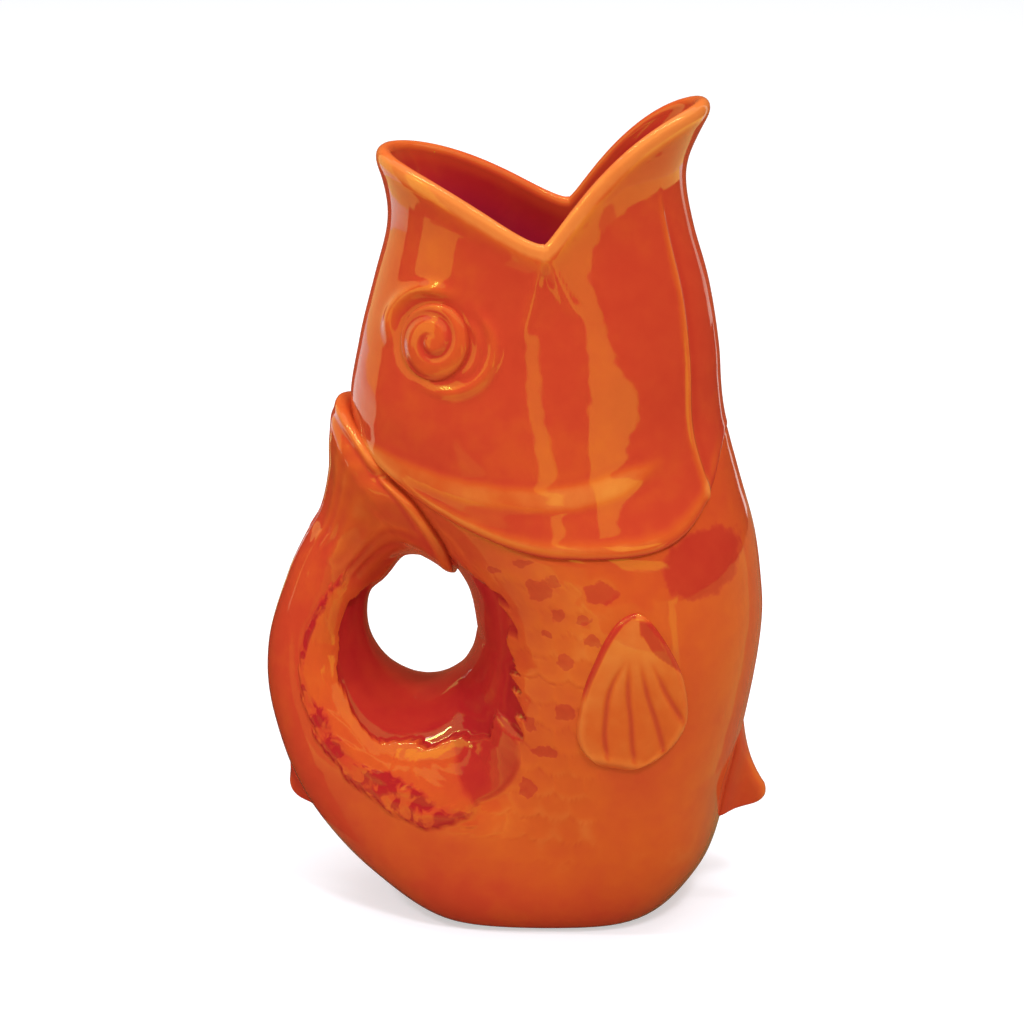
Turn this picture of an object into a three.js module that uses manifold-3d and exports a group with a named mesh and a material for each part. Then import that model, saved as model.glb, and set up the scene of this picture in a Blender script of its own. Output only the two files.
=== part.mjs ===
// Fish pitcher: a glazed jug in the form of an upright fish that pours from its open mouth.
// Millimetres. X runs from the tail to the belly, Y across the fish, Z up from the table.
import * as THREE from 'three';
import { mergeVertices } from 'three/addons/utils/BufferGeometryUtils.js';
import Module from 'manifold-3d';

const wasm = await Module();
wasm.setup();

// Casting
const wall = 5;
const lipThickness = 3.8;
const floorThickness = 7;
const seamGap = 0.3; // left at every luted seam

// Finger hole between the back and the curled tail
const holeX = -28.5;
const holeZ = 90;
const holeHalfLength = 17.8;
const holeHalfHeight = 21.8;

// Main sizes of the fish
const jugHeight = 263; // to the top of the head sections
const bellyReach = 78.4; // from the origin to the front of the belly
const tailReach = 77.5; // from the origin to the back of the tail
const halfGirth = 52.5; // half the width across the belly

// Head, in level sections from the spout down, as shares of the main sizes
const headRibs = [
  { level: 1, back: -0.458, front: 0.663, half: 0.514 },
  { level: 0.943, back: -0.461, front: 0.666, half: 0.552 },
  { level: 0.89, back: -0.461, front: 0.663, half: 0.59 },
  { level: 0.829, back: -0.48, front: 0.709, half: 0.629 },
  { level: 0.76, back: -0.546, front: 0.776, half: 0.693 },
  { level: 0.684, back: -0.61, front: 0.819, half: 0.771 },
  { level: 0.608, back: -0.643, front: 0.838, half: 0.848 },
  { level: 0.532, back: -0.561, front: 0.899, half: 0.914 },
  { level: 0.46, back: -0.348, front: 0.967, half: 0.962 },
  { level: 0.399, back: -0.187, front: 0.995, half: 0.99 },
];

// Trunk and tail, in sections that fan round the finger hole: outer point, half width, squareness
const trunkRibs = [
  { reach: 1, level: 0.346, half: 1, square: 0.06 },
  { reach: 0.967, level: 0.266, half: 0.99, square: 0.13 },
  { reach: 0.89, level: 0.16, half: 0.962, square: 0.25 },
  { reach: 0.784, level: 0.051, half: 0.914, square: 0.4 },
  { reach: 0.472, level: -0.03, half: 0.857, square: 0.5 },
  { reach: -0.116, level: -0.03, half: 0.876, square: 0.5 },
  { reach: -0.529, level: 0.03, half: 0.762, square: 0.4 },
  { reach: -0.832, level: 0.118, half: 0.619, square: 0.25 },
  { reach: -0.981, level: 0.217, half: 0.467, square: 0.12 },
  { reach: -1, level: 0.304, half: 0.371, square: 0.06 },
  { reach: -0.916, level: 0.392, half: 0.32, square: 0 },
  { reach: -0.832, level: 0.445, half: 0.291, square: 0 },
];

// Fluke, a fan in sections from the tail into the nape: inner point, outer point, half width
const flukeRibs = [
  { inReach: -0.49, inLevel: 0.409, outReach: -0.774, outLevel: 0.477, half: 0.305 },
  { inReach: -0.413, inLevel: 0.42, outReach: -0.742, outLevel: 0.525, half: 0.375 },
  { inReach: -0.329, inLevel: 0.42, outReach: -0.735, outLevel: 0.57, half: 0.46 },
  { inReach: -0.258, inLevel: 0.413, outReach: -0.71, outLevel: 0.597, half: 0.535 },
  { inReach: -0.168, inLevel: 0.403, outReach: -0.594, outLevel: 0.606, half: 0.585 },
  { inReach: -0.039, inLevel: 0.399, outReach: -0.439, outLevel: 0.606, half: 0.6 },
  { inReach: 0.089, inLevel: 0.399, outReach: -0.284, outLevel: 0.604, half: 0.6 },
];

// Frill round the finger hole, on both sides: edges as pairs of station and angle from the belly
const frillProud = 1.3; // band between the edges
const frillSunk = 1.5; // wall between the band and the hole
const frillReturn = { from: 146, to: 176, share: 0.9 }; // degrees in which the wall regains the hole's line
const frillSlope = 8; // degrees that each step of the relief takes
const frillOuter = [
  [8.2, 136], [8.7, 127], [9.5, 126], [10.3, 131], [11.1, 130], [11.9, 124], [12.5, 117], [12.9, 111],
  [13.5, 107], [14.2, 103], [15.1, 95], [15.8, 98], [16.7, 101], [17.8, 89], [18.3, 82], [20.2, 84],
];
const frillInner = [
  [8.2, 139], [10, 131], [11.8, 131], [13.3, 135], [15.6, 140], [17.8, 130], [19, 131], [20.2, 148],
];

// Mouth: in side view the rim is a V between a short back lip and a tall spout
const notchX = 14;
const notchZ = 215.3;
const notchRound = 4;
const backLipSlope = 0.61;
const backLipStraight = 16;
const backLipBend = 132;
const backLipFlare = 5.5;
const spoutSlope = 1.55;
const spoutStraight = 5;
const spoutBend = 33;
const spoutFlare = 7.4;
const sideFlare = 2;
const flareDepth = 13;

// Gill cover: level of its edge round the fish, and the bead above it
const gillFront = 156;
const gillSide = 126.5;
const gillBack = 155;
const gillProud = 2;
const gillRise = 30;
const gillUndercut = 2;
const gillFade = 0.15; // share of the relief left at belly and back
const beadAbove = 16.5;
const beadWidth = 6;
const beadProud = 1.2;

// Foot
const footRecess = 1.5;
const footRingInset = 3;

// Tail seam, as an angle round the finger hole
const tailSeamAngle = -142;

// Eyes: domes with a spiral groove
const eyeX = -19.4;
const eyeZ = 187.2;
const eyeRadius = 11.4;
const eyeHeight = 2.9;
const eyeEdge = 0.9;
const eyeTurns = 2.3;
const eyeGroove = 0.7;

// Pectoral fins: ribbed scallops hung from their narrow end
const pectoralX = 46;
const pectoralTop = 109;
const pectoralLength = 52;
const pectoralHalf = 17.5;
const pectoralLean = -9.5;
const pectoralThickness = 2.4;
const pectoralEdge = 1;
const pectoralRibs = 6;
const pectoralRibHeight = 0.9;

// Keel fins: flaps in the plane of symmetry, from a shoulder on the outline to a tip that stands out
const finThickness = 7;
const finRound = 2;
const finTipRound = 5;
const finRootDepth = 10; // how far each outline runs into the body before it is cut to its seat
const pelvicTop = 58;
const pelvicTipLevel = 33;
const pelvicReach = 14.3;
const pelvicHeelLevel = 25;
const analTop = 43;
const analTipLevel = 28;
const analReach = 10;
const analHeelLevel = 16.8;

// Mesh density
const columns = 52;
const headRows = 9;
const shoulderRows = 5;
const trunkStep = 0.37;
const innerStep = 0.8;

const turn = 2 * Math.PI;
const radians = THREE.MathUtils.degToRad;
const lerp = THREE.MathUtils.lerp;

// The back line, the belly line and the girth are curves through the ribs, one station to a rib
const holeEdge = (x, z) => {
  const angle = Math.atan2(z - holeZ, x - holeX);
  const reach = 1 / Math.hypot(Math.cos(angle) / holeHalfLength, Math.sin(angle) / holeHalfHeight);
  return [holeX + reach * Math.cos(angle), holeZ + reach * Math.sin(angle)];
};
const inPlane = (reach, level) => [reach * (reach > 0 ? bellyReach : tailReach), level * jugHeight];
const ribs = [
  ...headRibs.map((r) => ({
    back: inPlane(r.back, r.level),
    belly: inPlane(r.front, r.level),
    half: r.half * halfGirth,
    square: 0,
  })),
  ...trunkRibs.map((r) => ({
    back: holeEdge(...inPlane(r.reach, r.level)),
    belly: inPlane(r.reach, r.level),
    half: r.half * halfGirth,
    square: r.square,
  })),
];
const lastStation = ribs.length - 1;
const levelStation = headRibs.length - 1;

const stationCurve = (list, point) => new THREE.CatmullRomCurve3(list.map(point), false, 'catmullrom', 0.5);
const upright = ([x, z]) => new THREE.Vector3(x, 0, z);
const backLine = stationCurve(ribs, (r) => upright(r.back));
const bellyLine = stationCurve(ribs, (r) => upright(r.belly));
const girth = stationCurve(ribs, (r) => new THREE.Vector3(r.half, r.square, 0));

// A point of an oval section: angle 0 is the belly, half a turn the back
function ovalPoint(back, belly, half, square, angle, offset) {
  const centre = back.clone().lerp(belly, 0.5);
  const axis = belly.clone().sub(centre);
  const reach = (axis.length() + offset) / axis.length();
  const across = (half + offset) * (1 + square * Math.max(Math.cos(angle), 0) ** 2);
  const point = centre.addScaledVector(axis, reach * Math.cos(angle));
  point.y = across * Math.sin(angle);
  return point;
}

// The plain fish surface at a station and an angle, moved out by an offset
function fishPoint(station, angle, offset) {
  const t = THREE.MathUtils.clamp(station / lastStation, 0, 1);
  const size = girth.getPoint(t);
  return ovalPoint(backLine.getPoint(t), bellyLine.getPoint(t), size.x, size.y, angle, offset);
}

// The station between two limits where a falling function changes sign
function stationWhere(height, low, high) {
  let [a, b] = [low, high];
  for (let i = 0; i < 40; i += 1) {
    const middle = (a + b) / 2;
    if (height(middle) > 0) a = middle;
    else b = middle;
  }
  return (a + b) / 2;
}

function rimLevel(x) {
  const d = x - notchX;
  const slope = d < 0 ? backLipSlope : spoutSlope;
  const past = d < 0 ? -d - backLipStraight : d - spoutStraight;
  const bend = d < 0 ? backLipBend : spoutBend;
  return notchZ + Math.hypot(slope * d, notchRound) - notchRound - Math.max(past, 0) ** 2 / (2 * bend);
}

// The gill edge is level along the side, sweeps up sharply to the throat and gently to the nape
function gillLevel(angle) {
  const lean = Math.cos(angle);
  const share = lean > 0 ? lean ** 5 : lean ** 2;
  return lerp(gillSide, lean > 0 ? gillFront : gillBack, share);
}

const rimStation = (angle) => stationWhere((s) => {
  const point = fishPoint(s, angle, 0);
  return point.z - rimLevel(point.x);
}, 0, levelStation);
const levelAt = (level) => stationWhere((s) => fishPoint(s, 0, 0).z - level, 0, lastStation / 2);

const columnAngles = Array.from({ length: columns }, (_, i) => (i / columns) * turn);
const rimStations = columnAngles.map(rimStation);
const rimHeights = columnAngles.map((angle, i) => fishPoint(rimStations[i], angle, 0).z);

// The lip flares out near the rim, most at the spout and least at the sides
function flared(point, angle, rimHeight) {
  const lean = Math.cos(angle);
  const tip = lean > 0 ? spoutFlare : backLipFlare;
  const amount = sideFlare + (tip - sideFlare) * Math.abs(lean) ** 3;
  const below = Math.max(rimHeight - point.z, 0) / flareDepth;
  const flare = amount * Math.exp(-(below ** 1.5));
  point.x += flare * lean;
  point.y += flare * Math.sin(angle);
  return point;
}

// The gill cover swells toward its edge and carries a rounded bead; both fade at belly and back
function gillRelief(above, angle) {
  if (above < 0) return 0;
  const swell = gillProud * THREE.MathUtils.smoothstep(gillRise - above, 0, gillRise);
  const fromBead = Math.abs(above - beadAbove) / beadWidth;
  const bead = beadProud * Math.max(1 - (2 * fromBead) ** 2, 0);
  return (swell + bead) * lerp(gillFade, 1, Math.sin(angle) ** 2);
}

// An edge of the frill at a station, straight between its pairs
function frillEdge(pairs, station) {
  const next = pairs.findIndex(([at]) => at > station);
  if (next < 1) return pairs.at(next)[1];
  const [before, after] = [pairs[next - 1], pairs[next]];
  return lerp(before[1], after[1], (station - before[0]) / (after[0] - before[0]));
}

// The frill stands out as a band, and the wall inside it falls back to the hole
function frillRelief(station, angle) {
  const { smoothstep } = THREE.MathUtils;
  const turned = THREE.MathUtils.radToDeg(Math.acos(Math.cos(angle)));
  const outer = frillEdge(frillOuter, station);
  const inner = frillEdge(frillInner, station);
  const past = (edge) => smoothstep(turned, edge - frillSlope / 2, edge + frillSlope / 2);
  const width = THREE.MathUtils.clamp((inner - outer) / (2 * frillSlope), 0, 1);
  const [start, end] = [frillOuter[0][0], frillOuter.at(-1)[0]];
  const shown = smoothstep(station, start, start + 0.5) * (1 - smoothstep(station, end, end + 0.7));
  const wallShare = past(Math.max(inner, outer));
  const band = past(outer) * (1 - wallShare) * width;
  const kept = 1 - frillReturn.share * smoothstep(turned, frillReturn.from, frillReturn.to);
  return shown * (frillProud * band - frillSunk * wallShare * kept);
}

// Level offsets above the gill edge that every column shares, so that edge and bead stay crisp
const gillMarks = [beadAbove + beadWidth / 2, beadAbove, beadAbove - beadWidth / 2, beadWidth / 2, 0];

// Rings of the outside from the rim to the tail tip, all moved out by an offset
function outerRings(offset) {
  const rings = [];
  const ringOf = (pick) => rings.push(columnAngles.map(pick));
  const topMark = gillMarks[0];
  for (let row = 0; row < headRows; row += 1) {
    ringOf((angle, i) => {
      const end = levelAt(gillLevel(angle) + topMark);
      const station = lerp(rimStations[i], end, (row / headRows) ** 1.4);
      const above = fishPoint(station, angle, 0).z - gillLevel(angle);
      const point = fishPoint(station, angle, offset + gillRelief(above, angle));
      return flared(point, angle, rimHeights[i]);
    });
  }
  for (const mark of gillMarks) {
    ringOf((angle, i) => {
      const point = fishPoint(levelAt(gillLevel(angle) + mark), angle, offset + gillRelief(mark, angle));
      return flared(point, angle, rimHeights[i]);
    });
  }
  const trunkStart = levelStation + 0.5;
  for (let row = 0; row <= shoulderRows; row += 1) {
    ringOf((angle) => {
      const start = levelAt(gillLevel(angle) - gillUndercut);
      const station = lerp(start, trunkStart, row / shoulderRows);
      return fishPoint(station, angle, offset + frillRelief(station, angle));
    });
  }
  const steps = Math.round((lastStation - trunkStart) / trunkStep);
  for (let row = 1; row <= steps; row += 1) {
    const station = lerp(trunkStart, lastStation, row / steps);
    ringOf((angle) => fishPoint(station, angle, offset + frillRelief(station, angle)));
  }
  return rings;
}

// Rings of the inside from the lip to the closed end of the tail, flat on the floor of the jug
function innerRings() {
  const tailEnd = lastStation - 0.5;
  const rings = [];
  const trunkStart = levelStation + 0.5;
  const headSteps = Math.round(levelStation / innerStep);
  for (let row = 0; row <= headSteps; row += 1) {
    rings.push(columnAngles.map((angle, i) => {
      const share = (row / headSteps) ** 1.4;
      const station = lerp(rimStations[i], trunkStart, share);
      const level = fishPoint(station, angle, 0).z;
      const depth = Math.min((rimHeights[i] - level) / flareDepth, 1);
      return flared(fishPoint(station, angle, -lerp(lipThickness, wall, depth)), angle, rimHeights[i]);
    }));
  }
  const steps = Math.round((tailEnd - trunkStart) / innerStep);
  for (let row = 1; row <= steps; row += 1) {
    const station = lerp(trunkStart, tailEnd, row / steps);
    rings.push(columnAngles.map((angle) => {
      const point = fishPoint(station, angle, -wall);
      point.z = Math.max(point.z, floorThickness);
      return point;
    }));
  }
  return rings;
}

// Half-round rings over the lip, square to the rim
function lipRings(outer, inner) {
  const middles = outer.map((point, i) => point.clone().lerp(inner[i], 0.5));
  return [45, 90, 135].map((degrees) => middles.map((middle, i) => {
    const along = middles[(i + 1) % columns].clone().sub(middles[(i + columns - 1) % columns]);
    const out = outer[i].clone().sub(middle);
    const up = out.clone().cross(along).normalize().multiplyScalar(out.length());
    if (up.z < 0) up.negate();
    const point = middle.clone().addScaledVector(out, Math.cos(radians(degrees)));
    return point.addScaledVector(up, Math.sin(radians(degrees)));
  }));
}

// A closed solid through rings of equal count, with a fan over each end
function loft(rings) {
  const count = rings[0].length;
  const centreOf = (ring) => ring.reduce((sum, p) => sum.add(p), new THREE.Vector3()).divideScalar(count);
  const points = [...rings.flat(), centreOf(rings[0]), centreOf(rings.at(-1))];
  const first = points.length - 2;
  const lastRing = (rings.length - 1) * count;
  const index = [];
  for (let i = 0; i < count; i += 1) {
    const next = (i + 1) % count;
    index.push(first, next, i);
    index.push(first + 1, lastRing + i, lastRing + next);
    for (let row = 0; row < lastRing; row += count) {
      index.push(row + i, row + next, row + count + next);
      index.push(row + i, row + count + next, row + count + i);
    }
  }
  return facingOut(new THREE.BufferGeometry().setFromPoints(points).setIndex(index));
}

// Turns every face round if the solid came out inside out
function facingOut(geometry) {
  const at = geometry.getAttribute('position');
  const corner = (k) => new THREE.Vector3().fromBufferAttribute(at, geometry.index.array[k]);
  let volume = 0;
  for (let k = 0; k < geometry.index.count; k += 3) {
    volume += corner(k).dot(corner(k + 1).cross(corner(k + 2)));
  }
  if (volume < 0) geometry.setIndex(Array.from(geometry.index.array).reverse());
  return geometry;
}

function toSolid(geometry) {
  const bare = geometry.clone();
  bare.deleteAttribute('normal');
  bare.deleteAttribute('uv');
  const merged = mergeVertices(bare, 1e-4);
  const vertProperties = Float32Array.from(merged.getAttribute('position').array);
  const triVerts = Uint32Array.from(merged.index.array);
  return new wasm.Manifold(new wasm.Mesh({ numProp: 3, vertProperties, triVerts }));
}

function toGeometry(solid) {
  const mesh = solid.getMesh();
  const geometry = new THREE.BufferGeometry();
  geometry.setAttribute('position', new THREE.BufferAttribute(Float32Array.from(mesh.vertProperties), 3));
  geometry.setIndex(Array.from(mesh.triVerts));
  return geometry;
}

// A straight-sided solid whose outline lies in the plane of symmetry, centred on it
function slabAcross(shape, thickness, round) {
  const geometry = new THREE.ExtrudeGeometry(shape, {
    depth: thickness - 2 * round,
    bevelEnabled: round > 0,
    bevelThickness: round,
    bevelSize: round,
    bevelOffset: -round,
    bevelSegments: 3,
    curveSegments: 10,
  });
  geometry.translate(0, 0, -(thickness - 2 * round) / 2);
  return toSolid(geometry.rotateX(Math.PI / 2));
}

// A block of the space below a level, wider than the fish
function spaceBelow(level, depth) {
  const reach = 4 * jugHeight;
  return toSolid(new THREE.BoxGeometry(reach, reach, depth).translate(0, 0, level - depth / 2));
}

// The sector round the finger hole that holds the tail, its lower side moved by a shift
function tailSector(shift) {
  const reach = 4 * jugHeight;
  const low = radians(tailSeamAngle);
  const [tipX, tipZ] = ribs.at(-1).belly;
  const high = Math.atan2(tipZ - holeZ, tipX - holeX) - turn;
  const past = Math.atan2(seamGap, holeHalfLength) * 4;
  const shiftX = shift * Math.sin(low);
  const shiftZ = -shift * Math.cos(low);
  const [apexX, apexZ] = [holeX + shiftX, holeZ + shiftZ];
  const corner = (angle) => [apexX + reach * Math.cos(angle), apexZ + reach * Math.sin(angle)];
  const shape = new THREE.Shape();
  shape.moveTo(apexX, apexZ);
  shape.lineTo(...corner(low));
  shape.lineTo(...corner((low + high) / 2));
  shape.lineTo(...corner(high - past));
  shape.closePath();
  return slabAcross(shape, reach, 0);
}

// Where a point of the side view lies on the fish: station and angle, found by Newton steps
function onSide(x, z, side) {
  const step = 1e-3;
  let station = levelAt(Math.max(z, holeZ));
  let angle = (side * turn) / 4;
  for (let i = 0; i < 25; i += 1) {
    const here = fishPoint(station, angle, 0);
    const byStation = fishPoint(station + step, angle, 0).sub(here).divideScalar(step);
    const byAngle = fishPoint(station, angle + step, 0).sub(here).divideScalar(step);
    const [dx, dz] = [x - here.x, z - here.z];
    const spread = byStation.x * byAngle.z - byAngle.x * byStation.z;
    station += (dx * byAngle.z - byAngle.x * dz) / spread;
    angle += (byStation.x * dz - dx * byStation.z) / spread;
  }
  const point = fishPoint(station, angle, 0);
  const byStation = fishPoint(station + step, angle, 0).sub(point);
  const normal = fishPoint(station, angle + step, 0).sub(point).cross(byStation).normalize();
  if (normal.y * side < 0) normal.negate();
  return { point, normal };
}

// A place in a patch laid on the side of the fish: along and up from its origin, then out by a height
function patch(x, z, side, lean) {
  const { normal } = onSide(x, z, side);
  const along = new THREE.Vector3(-normal.y * side, normal.x * side, 0).negate().normalize();
  if (along.x < 0) along.negate();
  const up = normal.clone().cross(along).normalize();
  if (up.z < 0) up.negate();
  const [c, s] = [Math.cos(radians(lean)), Math.sin(radians(lean))];
  return (a, b, height) => {
    const [m, n] = [a * c - b * s, a * s + b * c];
    const spot = onSide(x + along.x * m + up.x * n, z + along.z * m + up.z * n, side);
    return spot.point.addScaledVector(spot.normal, height);
  };
}

// Body: outside, rolled lip and inside in one skin, cut flat at the foot and hollowed under it
const outside = outerRings(0);
const inside = innerRings();
const skin = [...outside].reverse();
const casting = toSolid(loft([...skin, ...lipRings(outside[0], inside[0]), ...inside]));
const underfoot = spaceBelow(0, jugHeight);
const recess = toSolid(loft(outerRings(-footRingInset))).intersect(spaceBelow(footRecess, jugHeight));
const shell = casting.subtract(underfoot).subtract(recess);

const bodyShell = shell.subtract(tailSector(-seamGap / 2));
const tailHandle = shell.intersect(tailSector(seamGap / 2));

// What the luted pieces are cut by: the whole outside, moved out by the seam, its faces split alike
const seat = toSolid(loft(outerRings(seamGap).reverse()));

// Fluke: a loft from the end of the tail, thinning and spreading until it meets the nape
function makeTailFin() {
  const tip = ribs.at(-1);
  const inner = upright(tip.back);
  const outer = upright(tip.belly);
  const ahead = outer.clone().sub(inner).normalize();
  const offset = new THREE.Vector3(ahead.z, 0, -ahead.x).multiplyScalar(seamGap);
  const sections = [
    { inner: inner.add(offset), outer: outer.add(offset), half: tip.half },
    ...flukeRibs.map((r) => ({
      inner: upright(inPlane(r.inReach, r.inLevel)),
      outer: upright(inPlane(r.outReach, r.outLevel)),
      half: r.half * halfGirth,
    })),
  ];
  const innerLine = stationCurve(sections, (r) => r.inner);
  const outerLine = stationCurve(sections, (r) => r.outer);
  const thickness = stationCurve(sections, (r) => new THREE.Vector3(r.half, 0, 0));
  const rows = 3 * (sections.length - 1);
  const sides = 28;
  const rings = Array.from({ length: rows + 1 }, (_, row) => {
    const t = row / rows;
    const [low, high, half] = [innerLine.getPoint(t), outerLine.getPoint(t), thickness.getPoint(t).x];
    return Array.from({ length: sides }, (_, i) => ovalPoint(low, high, half, 0, (i / sides) * turn, 0));
  });
  return toSolid(loft(rings)).subtract(seat);
}

// Where the outline under the belly, side 1, or under the tail, side -1, crosses a level
function keelPoint(level, side) {
  const foot = levelStation + 1 + trunkRibs.length / 2 - 1;
  const end = side > 0 ? levelStation + 1 : lastStation - 2;
  const height = (s) => level - bellyLine.getPoint(s / lastStation).z;
  const point = bellyLine.getPoint(stationWhere(height, foot, end) / lastStation);
  return new THREE.Vector2(point.x, point.z);
}

// Keel fin: a rounded flap from the outline, over a shoulder to its tip and back to a heel
function makeKeelFin(side, top, tipLevel, reach, heelLevel) {
  const along = (distance) => new THREE.Vector2(side * distance, 0);
  const shoulder = keelPoint(top, side);
  const tip = keelPoint(tipLevel, side).add(along(reach));
  const heel = keelPoint(heelLevel, side).sub(along(finRootDepth));
  const root = shoulder.clone().sub(along(finRootDepth));
  const before = shoulder.clone().sub(tip).setLength(finTipRound).add(tip);
  const after = heel.clone().sub(tip).setLength(finTipRound).add(tip);
  const bow = new THREE.Vector2(lerp(shoulder.x, before.x, 0.2), lerp(shoulder.y, before.y, 0.6));
  const shape = new THREE.Shape();
  shape.moveTo(root.x, root.y);
  shape.lineTo(shoulder.x, shoulder.y);
  shape.quadraticCurveTo(bow.x, bow.y, before.x, before.y);
  shape.quadraticCurveTo(tip.x, tip.y, after.x, after.y);
  shape.lineTo(heel.x, heel.y);
  shape.closePath();
  return slabAcross(shape, finThickness, finRound).subtract(seat);
}

// Eye: a dome on the head, its groove winding in to the middle
function makeEye(side) {
  const place = patch(eyeX, eyeZ, side, 0);
  const sides = 28;
  const rounds = 8;
  const ring = (radius, height) => Array.from({ length: sides }, (_, i) => {
    const angle = (i / sides) * turn;
    const top = height(radius / eyeRadius, angle);
    return place(radius * Math.cos(angle), radius * Math.sin(angle), seamGap + top);
  });
  const dome = (share, angle) => {
    const wave = 0.5 - 0.5 * Math.cos(angle * side + eyeTurns * turn * share);
    const inside = THREE.MathUtils.smoothstep(1 - share, 0, 0.25);
    return eyeEdge + (eyeHeight - eyeEdge) * (1 - share ** 2) - eyeGroove * wave * inside;
  };
  const radii = Array.from({ length: rounds }, (_, i) => (eyeRadius * (i + 0.5)) / (rounds - 0.5));
  const under = radii.filter((_, i) => i % 2 === 0).map((radius) => ring(radius, () => 0));
  const over = radii.map((radius) => ring(radius, dome)).reverse();
  return loft([...under, ...over]);
}

// Pectoral fin: a scallop laid on the trunk, its ribs spreading from the narrow top end
function makePectoralFin(side) {
  const place = patch(pectoralX, pectoralTop, side, pectoralLean);
  const rows = 10;
  const steps = 4 * pectoralRibs;
  const spread = (v) => v ** 0.55 * Math.sqrt(1 - v ** 3);
  const widest = spread(Math.cbrt(0.55 / 2.05));
  const rings = Array.from({ length: rows }, (_, row) => {
    const v = lerp(0.03, 0.985, row / (rows - 1));
    const half = (pectoralHalf * spread(v)) / widest;
    const across = Array.from({ length: steps + 1 }, (_, i) => (2 * i) / steps - 1);
    const top = across.map((u) => {
      const crown = (1 - u ** 4) * Math.min(4 * v, 1);
      const rib = 0.5 - 0.5 * Math.cos(Math.PI * pectoralRibs * (u + 1));
      const height = lerp(pectoralEdge, pectoralThickness, crown) + pectoralRibHeight * rib * crown;
      return place(u * half, -v * pectoralLength, seamGap + height);
    });
    const under = across.filter((_, i) => i % 2 === 0).reverse();
    return [...top, ...under.map((u) => place(u * half, -v * pectoralLength, seamGap))];
  });
  return loft(rings);
}

const glaze = (color, roughness) => new THREE.MeshStandardMaterial({ color, roughness, metalness: 0 });
const fish = new THREE.Group();
function addPiece(name, geometry, material) {
  const mesh = new THREE.Mesh(geometry, material);
  mesh.name = name;
  fish.add(mesh);
}
addPiece('body_shell', toGeometry(bodyShell), glaze(0xca5c27, 0.16));
addPiece('tail_handle', toGeometry(tailHandle), glaze(0xd05d2b, 0.16));
addPiece('tail_fin', toGeometry(makeTailFin()), glaze(0xd0612a, 0.18));
const pelvicFin = makeKeelFin(1, pelvicTop, pelvicTipLevel, pelvicReach, pelvicHeelLevel);
addPiece('pelvic_fin', toGeometry(pelvicFin), glaze(0xb64425, 0.2));
const analFin = makeKeelFin(-1, analTop, analTipLevel, analReach, analHeelLevel);
addPiece('anal_fin', toGeometry(analFin), glaze(0xb64425, 0.2));
addPiece('pectoral_fin_right', makePectoralFin(-1), glaze(0xcb5d26, 0.18));
addPiece('pectoral_fin_left', makePectoralFin(1), glaze(0xcb5d26, 0.18));
addPiece('eye_right', makeEye(-1), glaze(0xcd5127, 0.16));
addPiece('eye_left', makeEye(1), glaze(0xcd5127, 0.16));

// Stand the fish with the middle of its box over the origin
const box = new THREE.Box3().setFromObject(fish);
fish.position.x = -(box.min.x + box.max.x) / 2;
const fishPitcher = new THREE.Group();
fishPitcher.add(fish);

export default fishPitcher;
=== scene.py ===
import math
import bmesh
import bpy
import numpy as np
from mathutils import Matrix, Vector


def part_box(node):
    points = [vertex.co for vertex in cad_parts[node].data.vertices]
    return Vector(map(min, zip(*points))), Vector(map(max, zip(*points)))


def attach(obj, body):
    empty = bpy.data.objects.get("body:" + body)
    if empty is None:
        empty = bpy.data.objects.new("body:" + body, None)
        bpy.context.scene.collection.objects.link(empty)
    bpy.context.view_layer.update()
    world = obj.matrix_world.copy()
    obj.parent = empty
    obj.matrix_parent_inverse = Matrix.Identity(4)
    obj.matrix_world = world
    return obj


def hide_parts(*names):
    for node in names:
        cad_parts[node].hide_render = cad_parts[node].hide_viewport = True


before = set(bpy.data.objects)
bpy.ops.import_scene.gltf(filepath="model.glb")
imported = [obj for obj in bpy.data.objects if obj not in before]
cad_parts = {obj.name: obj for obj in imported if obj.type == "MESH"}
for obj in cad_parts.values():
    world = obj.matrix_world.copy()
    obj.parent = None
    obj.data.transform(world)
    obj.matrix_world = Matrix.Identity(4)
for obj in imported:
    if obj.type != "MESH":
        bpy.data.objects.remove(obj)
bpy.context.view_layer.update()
print("frame loaded:", sorted(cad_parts))

# Fish form, in millimetres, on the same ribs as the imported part
fish = {
    "hole": (-28.5, 90.0, 17.8, 21.8),  # finger hole: centre x, z, half length, half height
    "head": [  # level, back, front, half width
        (263, -35.5, 52.0, 27.0), (248, -35.7, 52.2, 29.0), (234, -35.7, 52.0, 31.0),
        (218, -37.2, 55.6, 33.0), (200, -42.3, 60.8, 36.4), (180, -47.3, 64.2, 40.5),
        (160, -49.8, 65.7, 44.5), (140, -43.5, 70.5, 48.0), (121, -27.0, 75.8, 50.5),
        (105, -14.5, 78.0, 52.0)],
    "trunk": [  # outer point x, z, half width, squareness
        (78.4, 91, 52.5, .06), (75.8, 70, 52.0, .13), (69.8, 42, 50.5, .25), (61.5, 13.4, 48.0, .4),
        (37.0, -8, 45.0, .5), (-9.0, -8, 46.0, .5), (-41.0, 8, 40.0, .4), (-64.5, 31, 32.5, .25),
        (-76.0, 57, 24.5, .12), (-77.5, 80, 19.5, .06), (-71.0, 103, 16.8, 0), (-64.5, 117, 15.3, 0)],
    "fluke": [  # inner point x, z, outer point x, z, half width
        (-38.0, 107.6, -60.0, 125.5, 16.0), (-32.0, 110.5, -57.5, 138.1, 19.7),
        (-25.5, 110.5, -57.0, 149.9, 24.2), (-20.0, 108.6, -55.0, 157.0, 28.1),
        (-13.0, 106.0, -46.0, 159.4, 30.7), (-3.0, 104.9, -34.0, 159.4, 31.5),
        (7.0, 104.9, -22.0, 158.9, 31.5)],
    "wall": 5.0,
    "floor": 7.0,  # level of the floor inside
}
headEnd = 9.0  # last level station
tailEnd = 21.0  # station where the tail turns into the fluke
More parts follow.
